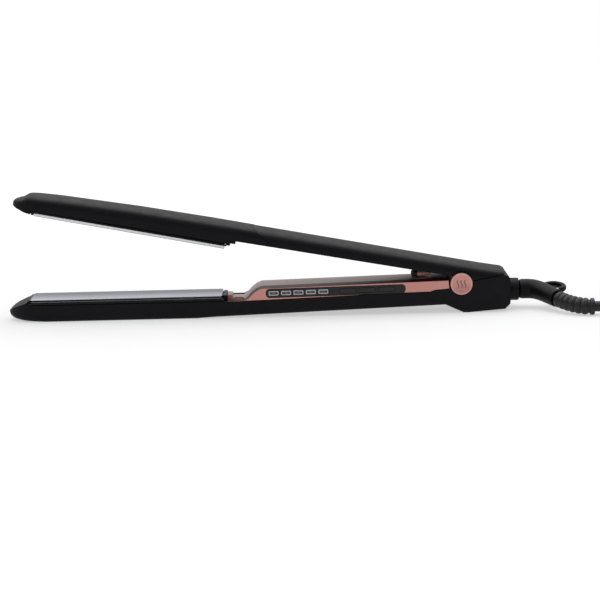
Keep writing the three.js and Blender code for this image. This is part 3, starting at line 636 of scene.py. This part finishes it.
def plate_body(section, looks, node, z, place):
    """A plate made from its half section, with a look for each stretch of the section."""
    half = [(y, z + d) for y, d in section]
    points, faces = loft(plate_rings(half, -247, -137, place))
    obj = piece(f"{node}_body", points, faces, f"{node}_body", PLATE, [node], "plate", sharp=25)
    order = []
    for look in [PLATE, *looks]:
        if look not in order:
            order.append(look)
    count = 2 * len(half)
    stretch = [PLATE] * count
    for i, look in enumerate(looks):
        stretch[i] = look
        stretch[count - 2 - i] = look
    stretch[len(looks)] = HEAT
    order += [HEAT] if HEAT not in order else []

    def choose(face):
        if face.loop_total > 4:
            return order.index(HEAT)
        spots = sorted(v % count for v in face.vertices)
        low, high = spots[0], spots[-1]
        return order.index(stretch[high if low == 0 and high == count - 1 else low])

    paint(obj, order, choose)


lower_plate()
upper_plate()

# ---------------------------------------------------------------- swivel elbow and boot


def swivel_point(along, across, up=0.0):
    """A point given along the handle, across it and up, in the tilted frame of the swivel, in metres."""
    y = -across
    c, s = math.cos(ELBOW_TILT), math.sin(ELBOW_TILT)
    return Vector((HINGE.x + along, SWIVEL.y + y * c - up * s, SWIVEL.z + y * s + up * c))


def bend_point(t):
    """The elbow's curve: a cubic Bezier curve in the swivel's own plane."""
    controls = ((BEND_START, 0), (BEND_START + 12 * MM, 0), (BOOT_END - 19.4 * MM, ELBOW_REACH),
                (BOOT_END, ELBOW_REACH))
    weights = ((1 - t) ** 3, 3 * t * (1 - t) ** 2, 3 * t * t * (1 - t), t ** 3)
    along = sum(w * c[0] for w, c in zip(weights, controls))
    across = sum(w * c[1] for w, c in zip(weights, controls))
    return along, across


def bend_line(start, end, steps):
    """Points of the bend between two shares of its length."""
    fine = [bend_point(k / 200) for k in range(201)]
    lengths = [0]
    for a, b in zip(fine, fine[1:]):
        lengths.append(lengths[-1] + math.dist(a, b))
    total = lengths[-1]
    line = []
    for k in range(steps + 1):
        wanted = total * (start + (end - start) * k / steps)
        t = np.interp(wanted, lengths, np.linspace(0, 1, 201))
        line.append(swivel_point(*bend_point(t)))
    return line


def ribbed_boot():
    """Strain relief: a tapering sleeve with rounded ribs and a lip at the cord's end."""
    steps = 190
    ribs = 6
    rib_end = 0.86
    line = bend_line(BOOT_SHARE + 0.012, 1, steps)
    radii = []
    for k in range(steps + 1):
        s = k / steps
        core = 3.85 + 0.1 * s
        if s < rib_end:
            wave = abs(math.sin(math.pi * (s / rib_end) * ribs)) ** 0.6
            radius = core + 0.85 * wave
        elif s < 0.9:
            radius = core
        else:
            radius = core + 0.85 * min(1, (s - 0.9) / 0.012)
        radii.append(radius * MM)
    radii[-1] -= 0.4 * MM
    radii[-2] -= 0.15 * MM
    points, faces = loft(sweep_rings(line, radii, 40))
    return piece("strain_relief_boot", points, faces, "swivel", BOOT, ["ribbed_boot"], "cord_rubber")


def apply_modifiers(obj):
    """Replaces a piece's mesh by what its modifiers make of it."""
    bpy.context.view_layer.update()
    graph = bpy.context.evaluated_depsgraph_get()
    made = bpy.data.meshes.new_from_object(obj.evaluated_get(graph))
    obj.modifiers.clear()
    obj.data = made


def joined_mesh(name, parts):
    """One mesh object from several (points, faces) parts."""
    work = bmesh.new()
    for points, faces in parts:
        corners = [work.verts.new(p) for p in points]
        for face in faces:
            work.faces.new([corners[i] for i in face])
    bmesh.ops.recalc_face_normals(work, faces=work.faces)
    mesh = bpy.data.meshes.new(name)
    work.to_mesh(mesh)
    work.free()
    obj = bpy.data.objects.new(name, mesh)
    bpy.context.scene.collection.objects.link(obj)
    return obj


def hang_ring_part():
    """Flattened loop beside the elbow."""
    centre_along, centre_across = 54.6, -1.2
    rings = []
    turns = 48
    for k in range(turns):
        a = 2 * math.pi * k / turns
        out = Vector((math.cos(a), math.sin(a)))
        ring = []
        for j in range(16):
            b = 2 * math.pi * j / 16
            across = 1.55 * math.copysign(abs(math.cos(b)) ** 0.8, math.cos(b))
            up = 1.75 * math.copysign(abs(math.sin(b)) ** 0.8, math.sin(b))
            along = centre_along + out.x * (5.85 + across)
            sideways = centre_across - out.y * (5.65 + across)
            ring.append(swivel_point(along * MM, sideways * MM, up * MM))
        rings.append(ring)
    rings.append(rings[0])
    points, faces = loft(rings[:-1], caps=False)
    count = 16
    last = (turns - 1) * count
    faces += [(last + i, last + (i + 1) % count, (i + 1) % count, i) for i in range(count)]
    return points, faces


NECK_RADIUS = 3.9  # these four are in mm; the neck fills the slit between the collar and the elbow
ELBOW_RIM = 5.2
ELBOW_RADIUS = 5.7
ELBOW_TAPER = 0.6


def elbow_halves():
    """The moulded elbow with its hanging ring, blended into one shape and then split along its seam."""
    straight = [swivel_point(x * MM, 0) for x in (33.5, 34.2, 34.4, 35.6, 37)]
    steps = 26
    line = straight + bend_line(0, BOOT_SHARE, steps)
    neck = [radius * MM for radius in (NECK_RADIUS, NECK_RADIUS, ELBOW_RIM, ELBOW_RADIUS, ELBOW_RADIUS)]
    radii = neck + [(ELBOW_RADIUS - ELBOW_TAPER * k / steps) * MM for k in range(steps + 1)]
    body = joined_mesh("elbow", [loft(sweep_rings(line, radii, 36)), hang_ring_part()])
    modify(body, "REMESH", mode="VOXEL", voxel_size=0.42 * MM)
    modify(body, "SMOOTH", factor=0.6, iterations=5)
    apply_modifiers(body)
    up = (swivel_point(0, 0, 1) - swivel_point(0, 0, 0)).normalized()
    for name, side, nodes in (
            ("elbow_upper_half", 1, ["elbow_top"]), ("elbow_lower_half", -1, ["elbow_bottom"])):
        half = bpy.data.objects.new(name, body.data.copy())
        bpy.context.scene.collection.objects.link(half)
        work = bmesh.new()
        work.from_mesh(half.data)
        cut = bmesh.ops.bisect_plane(
            work, geom=work.verts[:] + work.edges[:] + work.faces[:], dist=1e-7,
            plane_co=SWIVEL + up * (side * 0.09 * MM), plane_no=up * side, clear_inner=True)
        rim = [e for e in cut["geom_cut"] if isinstance(e, bmesh.types.BMEdge)]
        bmesh.ops.holes_fill(work, edges=rim)
        work.to_mesh(half.data)
        work.free()
        settle(half, "swivel", MATT, nodes, "matt_black", sharp=50)
    bpy.data.objects.remove(body)


ribbed_boot()
elbow_halves()

# ---------------------------------------------------------------- cord, hank, tie and plug

# The same places as in the CAD, in metres.
CORD_ROUTE = [
    (0.1867, -0.0315, 0.0049), (0.190, -0.0315, 0.00485), (0.194, -0.0313, 0.0047),
    (0.198, -0.031, 0.00445), (0.202, -0.0306, 0.00425), (0.206, -0.03025, 0.00405),
    (0.210, -0.03005, 0.00395), (0.2139, -0.030, 0.0039),
]
TAIL_ROUTE = [
    (0.3748, -0.036, 0.0039), (0.378, -0.0359, 0.00392), (0.3815, -0.0354, 0.00405),
    (0.385, -0.0344, 0.00425), (0.389, -0.0328, 0.00455), (0.393, -0.03095, 0.0049),
    (0.397, -0.0289, 0.0053), (0.401, -0.02685, 0.0057), (0.405, -0.02495, 0.0061),
    (0.409, -0.02325, 0.0064), (0.413, -0.022, 0.00665), (0.4165, -0.0213, 0.0068),
    (0.4208, -0.021, 0.00685),
]
HANK_Y = -0.012
HANK_NEAR, HANK_FAR = 0.237, 0.357  # centres of the folds
INNER_LANE, OUTER_LANE = 0.018, 0.024
LAYER = 2 * CORD_RADIUS
FIRST_LAYER = 0.0039


def ease(t):
    t = min(1, max(0, t))
    return t * t * t * (10 - 15 * t + 6 * t * t)


def hank_turn(radius, next_radius, z, next_z):
    """One turn, counter-clockwise from the near side's start: out, round, back and round again."""
    points = []
    for k in range(8):
        points.append((HANK_NEAR + (HANK_FAR - HANK_NEAR) * k / 8, HANK_Y - radius, z))
    for k in range(12):
        a = -math.pi / 2 + math.pi * k / 12
        points.append((HANK_FAR + radius * math.cos(a), HANK_Y + radius * math.sin(a), z))
    straight = 8
    fold = 12
    for k in range(straight):
        t = k / straight
        r = radius + (next_radius - radius) * ease(t)
        points.append((HANK_FAR - (HANK_FAR - HANK_NEAR) * t, HANK_Y + r, z + (next_z - z) * ease(t * 0.85)))
    for k in range(fold):
        a = math.pi / 2 + math.pi * k / fold
        share = 0.85 + 0.3 * k / fold
        points.append((
            HANK_NEAR + next_radius * math.cos(a), HANK_Y + next_radius * math.sin(a),
            z + (next_z - z) * ease(share)))
    return points


def cord_line():
    """The whole route: boot, into the hank, up its inner lane, down its outer one, out to the plug."""
    levels = [FIRST_LAYER + LAYER * k for k in range(4)]
    points = list(CORD_ROUTE)
    points.append((0.2255, -0.030, FIRST_LAYER))
    for k in range(3):
        points += hank_turn(INNER_LANE, INNER_LANE, levels[k], levels[k + 1])
    points += hank_turn(INNER_LANE, OUTER_LANE, levels[3], levels[3])
    for k in (3, 2):
        points += hank_turn(OUTER_LANE, OUTER_LANE, levels[k], levels[k - 1])
    for k in range(8):
        t = k / 8
        z = levels[1] + (levels[0] - levels[1]) * ease(t)
        points.append((HANK_NEAR + (HANK_FAR - HANK_NEAR) * t, HANK_Y - OUTER_LANE, z))
    points += [(HANK_FAR + d, HANK_Y - OUTER_LANE, FIRST_LAYER) for d in (0, 0.009)]
    return points + list(TAIL_ROUTE)


def line_length(line):
    return sum((Vector(b) - Vector(a)).length for a, b in zip(line, line[1:]))


def mains_cord():
    line = smooth_line(cord_line(), 2.2 * MM)
    inside_boot = [line[0] - Vector((d * MM, 0, 0)) for d in (2.4, 1.2)]
    line = inside_boot + line
    points, faces = loft(sweep_rings(line, [CORD_RADIUS] * len(line), 16))
    cord = piece("mains_cord", points, faces, None, RUBBER, slot="cord_rubber")
    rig.replaces(cord, "cord_run", "cord_tail", "cord_hank")
    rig.blend(cord, "swivel", "root", start=line[2], end=(0.222, line[2].y, line[2].z))
    return cord, line


def hank_tie():
    """Rubber band round the hank, following its rounded stack of turns."""
    low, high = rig.box("cord_tie")
    wall = 0.5 * MM
    outer = rounded_outline(high.y - low.y, high.z - low.z, 4.2 * MM, 8)
    inner = rounded_outline(high.y - low.y - 2 * wall, high.z - low.z - 2 * wall, 3.7 * MM, 8)
    middle = (low + high) / 2
    rings = []
    count = len(outer)
    for (oy, oz), (iy, iz) in zip(outer, inner):
        ring = []
        for x, share in ((-3.5, 0.5), (-3.1, 1), (0, 1.0), (3.1, 1), (3.5, 0.5), (3.1, 0), (0, 0), (-3.1, 0)):
            y = iy + (oy - iy) * share
            z = iz + (oz - iz) * share
            ring.append(Vector((middle.x + x * MM, middle.y + y, middle.z + z)))
        rings.append(ring)
    points, faces = loft(rings, caps=False)
    last = (count - 1) * 8
    faces += [(last + i, last + (i + 1) % 8, (i + 1) % 8, i) for i in range(8)]
    return piece("hank_tie", points, faces, "root", RUBBER, ["cord_tie"], "cord_rubber", sharp=50)


def plug():
    """Flat two-pin plug: a slim neck that flares to a flat face."""
    low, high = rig.box("plug_body")
    middle = (low + high) / 2
    length = high.x - low.x
    profile = [  # share of the length, half width and half height in mm
        (0, 4.4, 4.2), (0.015, 5.0, 4.8), (0.1, 5.1, 5.0), (0.12, 4.5, 4.5), (0.145, 4.5, 4.5),
        (0.165, 5.4, 5.3), (0.3, 6.6, 5.9), (0.42, 9.2, 6.4), (0.52, 13.2, 6.7), (0.6, 16, 6.8),
        (0.67, 17.2, 6.85), (0.74, 17.4, 6.85), (0.85, 15.6, 6.85), (0.94, 13.9, 6.8), (0.98, 13.4, 6.6),
        (1, 12.7, 6.0),
    ]
    dense = smooth_line([Vector((s * 100, w, h)) for s, w, h in profile], 1.2)
    rings = []
    for at in dense:
        ring = []
        for k in range(48):
            a = 2 * math.pi * k / 48
            power = 0.62
            y = at.y * math.copysign(abs(math.cos(a)) ** power, math.cos(a))
            z = at.z * math.copysign(abs(math.sin(a)) ** power, math.sin(a))
            ring.append(Vector((low.x + length * min(at.x, 100) / 100, middle.y + y * MM, middle.z + z * MM)))
        rings.append(ring)
    points, faces = loft(rings)
    return piece("mains_plug", points, faces, "root", RUBBER, ["plug_body"], "cord_rubber", sharp=60)


def plug_pins():
    """Round pins: an insulating sleeve along the first half, then bare metal with a domed end."""
    made = []
    for side in ("left", "right"):
        low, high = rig.box(f"plug_pin_{side}")
        y, z = (low.y + high.y) / 2, (low.z + high.z) / 2
        sleeve_end = low.x + 10 * MM
        root = low.x - 0.6 * MM
        sleeve = [(root, 1.85), (sleeve_end - 0.2 * MM, 1.85), (sleeve_end, 1.7)]
        bare = [(sleeve_end, 1.9), (high.x - 1.4 * MM, 1.9), (high.x - 0.6 * MM, 1.6),
                (high.x - 0.15 * MM, 1.0), (high.x, 0.3)]
        for part, look, slot, profile in (
                ("sleeve", RUBBER, "cord_rubber", sleeve), ("tip", STEEL, "steel", bare)):
            line = [(x, y, z) for x, _ in profile]
            points, faces = loft(sweep_rings(line, [r * MM for _, r in profile], 28))
            stands = [f"plug_pin_{side}"] if part == "tip" else []
            made.append(piece(f"plug_pin_{side}_{part}", points, faces, "root", look, stands, slot, sharp=50))
    return made


cord, cord_path = mains_cord()
cord_pieces = [hank_tie(), plug(), *plug_pins()]
cord_pieces += [
    "strain_relief_boot", "elbow_upper_half", "elbow_lower_half", "elbow_screw_1", "elbow_screw_2"]
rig.cord(
    cord, exit=cord_path[0], length=round(line_length(cord_path), 3), diameter=2 * CORD_RADIUS,
    far_end="plug", stiffness="medium", lay="coiled", path=cord_path, with_pieces=cord_pieces)

# ---------------------------------------------------------------- windows, buttons and the disc


def on_side(low, high, outline, depth, lift):
    """A flat part on the handle's near side: outline in mm round the box's middle, as (points, faces)."""
    middle = (low + high) / 2
    slope = math.radians(0.75)
    front = low.y - lift * MM
    rings = []
    for y in (front + depth * MM, front):
        ring = []
        for a, b in outline:
            x = a * math.cos(slope) - b * math.sin(slope)
            z = a * math.sin(slope) + b * math.cos(slope)
            ring.append(Vector((middle.x + x * MM, y, middle.z + z * MM)))
        rings.append(ring)
    return loft(rings)


WINDOW_FRAME = (5.7, 2.5, 0.5, 4)  # length, height and corner in mm, and steps round a corner
WINDOW_PANE = (4.7, 1.5, 0.25, 4)
FRAME_PROUD = 0.12 * MM
COOLEST = 120  # the first window reads one step above this
HEAT_STEP = 20


def window(number):
    """Indicator window: a raised light frame round a dark pane, with a generic heat number."""
    node = f"indicator_window_{number}"
    low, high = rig.box(node)
    outer = rounded_outline(*WINDOW_FRAME)
    inner = rounded_outline(*WINDOW_PANE)
    middle = (low + high) / 2
    front = low.y - FRAME_PROUD
    back = low.y + 0.9 * MM
    rings = []
    for outline, y in (
            (outer, back), (outer, front + FRAME_PROUD), (outer, front), (inner, front), (inner, back)):
        shrink = 0.97 if y == front and outline is outer else 1
        rings.append([
            Vector((middle.x + a * shrink * MM, y, middle.z + b * shrink * MM)) for a, b in outline])
    points, faces = loft(rings, caps=False)
    count = len(outer)
    last = 4 * count
    faces += [(last + i, last + (i + 1) % count, (i + 1) % count, i) for i in range(count)]
    piece(f"window_frame_{number}", points, faces, "root", BEZEL, [node], "window_grey")
    points, faces = on_side(low, high, inner, 0.8, -0.08)
    piece(f"window_pane_{number}", points, faces, "root", PANE, [], "gloss_black")
    heat = str(COOLEST + HEAT_STEP * number)
    text(f"heat_number_{number}", heat, 1.35, Vector((middle.x, low.y + 0.1 * MM, middle.z)))


def text(name, words, size, at, body="root", look=MARKING):
    """Printed generic digits or signs facing -Y, as a thin mesh."""
    data = bpy.data.curves.new(name, "FONT")
    data.body = words
    data.size = size * MM
    data.extrude = 0.03 * MM
    data.resolution_u = 3
    data.align_x = "CENTER"
    data.align_y = "CENTER"
    label = bpy.data.objects.new(name, data)
    bpy.context.scene.collection.objects.link(label)
    label.matrix_world = Matrix.Translation(at) @ Matrix.Rotation(math.pi / 2, 4, "X")
    bpy.context.view_layer.update()
    made = bpy.data.meshes.new_from_object(label.evaluated_get(bpy.context.evaluated_depsgraph_get()))
    made.transform(label.matrix_world)
    bpy.data.objects.remove(label)
    obj = bpy.data.objects.new(name, made)
    bpy.context.scene.collection.objects.link(obj)
    return settle(obj, body, look)


for number in range(1, 6):
    window(number)
for key, sign in (("power", "o"), ("minus", "-"), ("plus", "+")):
    low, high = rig.box(f"button_{key}")
    at = Vector(((low.x + high.x) / 2, low.y - 0.02 * MM, (low.z + high.z) / 2))
    text(f"key_sign_{key}", sign, 2.2, at, body=f"{key}_key", look=FAINT)


def lathe(profile, centre, steps=56):
    """A closed turned body about an axis along Y: profile of (radius, y) pairs, both ends on the axis."""
    points = [Vector((centre.x, profile[0][1], centre.z))]
    ring_at = []
    for radius, y in profile[1:-1]:
        ring_at.append(len(points))
        for k in range(steps):
            a = 2 * math.pi * k / steps
            points.append(Vector((centre.x + radius * math.cos(a), y, centre.z + radius * math.sin(a))))
    points.append(Vector((centre.x, profile[-1][1], centre.z)))
    faces = []
    for k in range(steps):
        j = (k + 1) % steps
        faces.append((0, ring_at[0] + k, ring_at[0] + j))
        for a, b in zip(ring_at, ring_at[1:]):
            faces.append((a + k, b + k, b + j, a + j))
        faces.append((ring_at[-1] + j, ring_at[-1] + k, len(points) - 1))
    return points, faces


DISC_SINK = 0.16 * MM


def hinge_disc(side):
    """Disc over the hinge: a slightly sunk field inside a raised rim painted lighter as a painted highlight."""
    low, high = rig.box(f"hinge_cap_{side}")
    outer, inner, sign = (low.y, high.y, 1) if side == "near" else (high.y, low.y, -1)
    radius = (high.x - low.x) / 2
    rim = [(radius / MM - d, y) for d, y in ((0.85, 0.16), (0.6, 0.0), (0.35, 0.0), (0.1, 0.12), (0.0, 0.4))]
    profile = [(0, outer + sign * DISC_SINK), *[(r * MM, outer + sign * y * MM) for r, y in rim],
               (radius, inner), (0, inner)]
    centre = (low + high) / 2
    points, faces = lathe(profile, centre)
    disc = piece(f"hinge_disc_{side}", points, faces, "root", ROSE, [f"hinge_cap_{side}"], "rose", sharp=40)
    # the disc's outer band takes the painted highlight
    edge = radius - 0.75 * MM
    paint(disc, [ROSE_RIM_HIGHLIGHT], lambda face: int(math.hypot(
        face.center.x - centre.x, face.center.z - centre.z) > edge))
    return outer + sign * DISC_SINK, centre


def heat_mark(front, centre):
    """Generic heat sign on the near disc: three rising wavy strokes."""
    half, reach, width = 2.2 * MM, 0.42 * MM, 0.3 * MM
    for number, shift in enumerate((-2.05 * MM, 0, 2.05 * MM), 1):
        rings = []
        for k in range(25):
            t = k / 24
            z = centre.z - half + 2 * half * t
            x = centre.x + shift + reach * math.sin(2 * math.pi * t)
            slope = reach * 2 * math.pi * math.cos(2 * math.pi * t) / (2 * half)
            reach_x = width * math.sqrt(1 + slope * slope) * (0.55 if k in (0, 24) else 1)
            rings.append([
                Vector((x + a * reach_x, y, z))
                for a, y in ((-1, front + 0.1 * MM), (-1, front - 0.05 * MM), (1, front - 0.05 * MM),
                             (1, front + 0.1 * MM))])
        points, faces = loft(rings)
        piece(f"heat_mark_{number}", points, faces, "root", ROSE_MARK, slot="rose")


hinge_disc("far")
heat_mark(*hinge_disc("near"))


def wire_tower():
    """Wire guide on the cover: its front end painted dark as a painted dark reflection, and a body that narrows
    towards the hinge.
    """
    low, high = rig.box("wire_tower")
    span = high - low
    stations = [  # share of the length, of the half width, and of the height at bottom and top
        (0, 0.5, 0.16, 0.66), (0.04, 0.66, 0.1, 0.8), (0.1, 0.84, 0.07, 0.9), (0.3, 0.94, 0.07, 0.95),
        (0.6, 0.86, 0.12, 0.9), (0.92, 0.68, 0.24, 0.82), (0.98, 0.6, 0.28, 0.78), (1, 0.5, 0.32, 0.72),
    ]
    rings = []
    for along, half, bottom, top in stations:
        width = span.y * half
        height = span.z * (top - bottom)
        middle = low.z + span.z * (top + bottom) / 2
        corner = 0.32 * height
        rings.append([
            Vector((low.x + span.x * along, y, middle + z))
            for y, z in rounded_outline(width, height, corner, 4)])
    points, faces = loft(rings)
    tower = piece("wire_guide", points, faces, "root", ROSE, ["wire_tower"], "rose")
    # the first 3 mm of the guide are painted dark as a painted dark reflection
    dark_front_end = low.x + 3 * MM
    paint(tower, [TOWER_FRONT_DARK_REFLECTION], lambda face: int(face.center.x < dark_front_end))


wire_tower()

# ---------------------------------------------------------------- stage and light


def floor_material():
    """A softly lit white table, its colour painted darker near the iron as a broad painted shadow."""
    n = Nodes("pale_floor")
    stretched = n.stretched((0.35, 1, 1))
    distance = n.node("ShaderNodeVectorMath", operation="LENGTH")
    n.link(stretched, distance.inputs[0])
    # painted shadow: the floor's colour is darkest near the iron and grows lighter further off
    far = n.between(distance.outputs["Value"], 0, 1, 0.06, 0.4)
    n.shader.inputs["Emission Color"].default_value = (1, 1, 1, 1)
    return n.set(
        base=n.colour(far, (0.33, 0.33, 0.333), (0.45, 0.45, 0.45)),
        roughness=0.8, specular=0.1, emission=0.52)


def make_floor():
    half = 60
    points = [(-half, -half, 0), (half, -half, 0), (half, half, 0), (-half, half, 0)]
    mesh = bpy.data.meshes.new("floor")
    mesh.from_pydata(points, [], [(0, 1, 2, 3)])
    obj = bpy.data.objects.new("floor", mesh)
    bpy.context.scene.collection.objects.link(obj)
    obj.data.materials.append(floor_material())
    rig.stage(obj)


def area_light(name, at, aim, width, height, power):
    data = bpy.data.lights.new(name, "AREA")
    data.shape = "RECTANGLE"
    data.size = width
    data.size_y = height
    data.energy = power
    light = bpy.data.objects.new(name, data)
    light.location = at
    light.rotation_mode = "QUATERNION"
    light.rotation_quaternion = (Vector(aim) - Vector(at)).to_track_quat("-Z", "Y")
    bpy.context.scene.collection.objects.link(light)


HORIZON = 0.16  # brightness of the studio's walls at the table's height
CEILING = 1.6
FRONT_SHARE = 0.48  # the walls behind the camera are this much darker


def make_light():
    """A white studio: pale walls that brighten towards the ceiling, darker behind the camera."""
    world = bpy.data.worlds.new("studio")
    bpy.context.scene.world = world
    world.use_nodes = True
    tree = world.node_tree
    background = tree.nodes["Background"]
    split = tree.nodes.new("ShaderNodeSeparateXYZ")
    tree.links.new(tree.nodes.new("ShaderNodeTexCoord").outputs["Generated"], split.inputs["Vector"])

    def ramp(value, low, high, to_low, to_high):
        made = tree.nodes.new("ShaderNodeMapRange")
        for key, number in (("From Min", low), ("From Max", high), ("To Min", to_low), ("To Max", to_high)):
            made.inputs[key].default_value = number
        tree.links.new(value, made.inputs["Value"])
        return made.outputs["Result"]

    height = ramp(split.outputs["Z"], 0.0, 0.75, HORIZON, CEILING)
    side = ramp(split.outputs["Y"], -0.6, 0.3, FRONT_SHARE, 1.0)
    product = tree.nodes.new("ShaderNodeMath")
    product.operation = "MULTIPLY"
    tree.links.new(height, product.inputs[0])
    tree.links.new(side, product.inputs[1])
    tree.links.new(product.outputs[0], background.inputs["Strength"])
    background.inputs["Color"].default_value = (1, 1, 1, 1)
    area_light("overhead", (-0.05, 0.25, 1.1), (0, 0, 0), 1.5, 0.9, 6)
    bpy.context.scene.view_settings.view_transform = "Standard"


make_floor()
make_light()

seen_low, seen_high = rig.bounds()
with open("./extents.json", "w") as size_file:
    json.dump({
        "cad": [list(cad_low), list(cad_high)],
        "visual": [list(seen_low), list(seen_high)],
    }, size_file, indent=1)
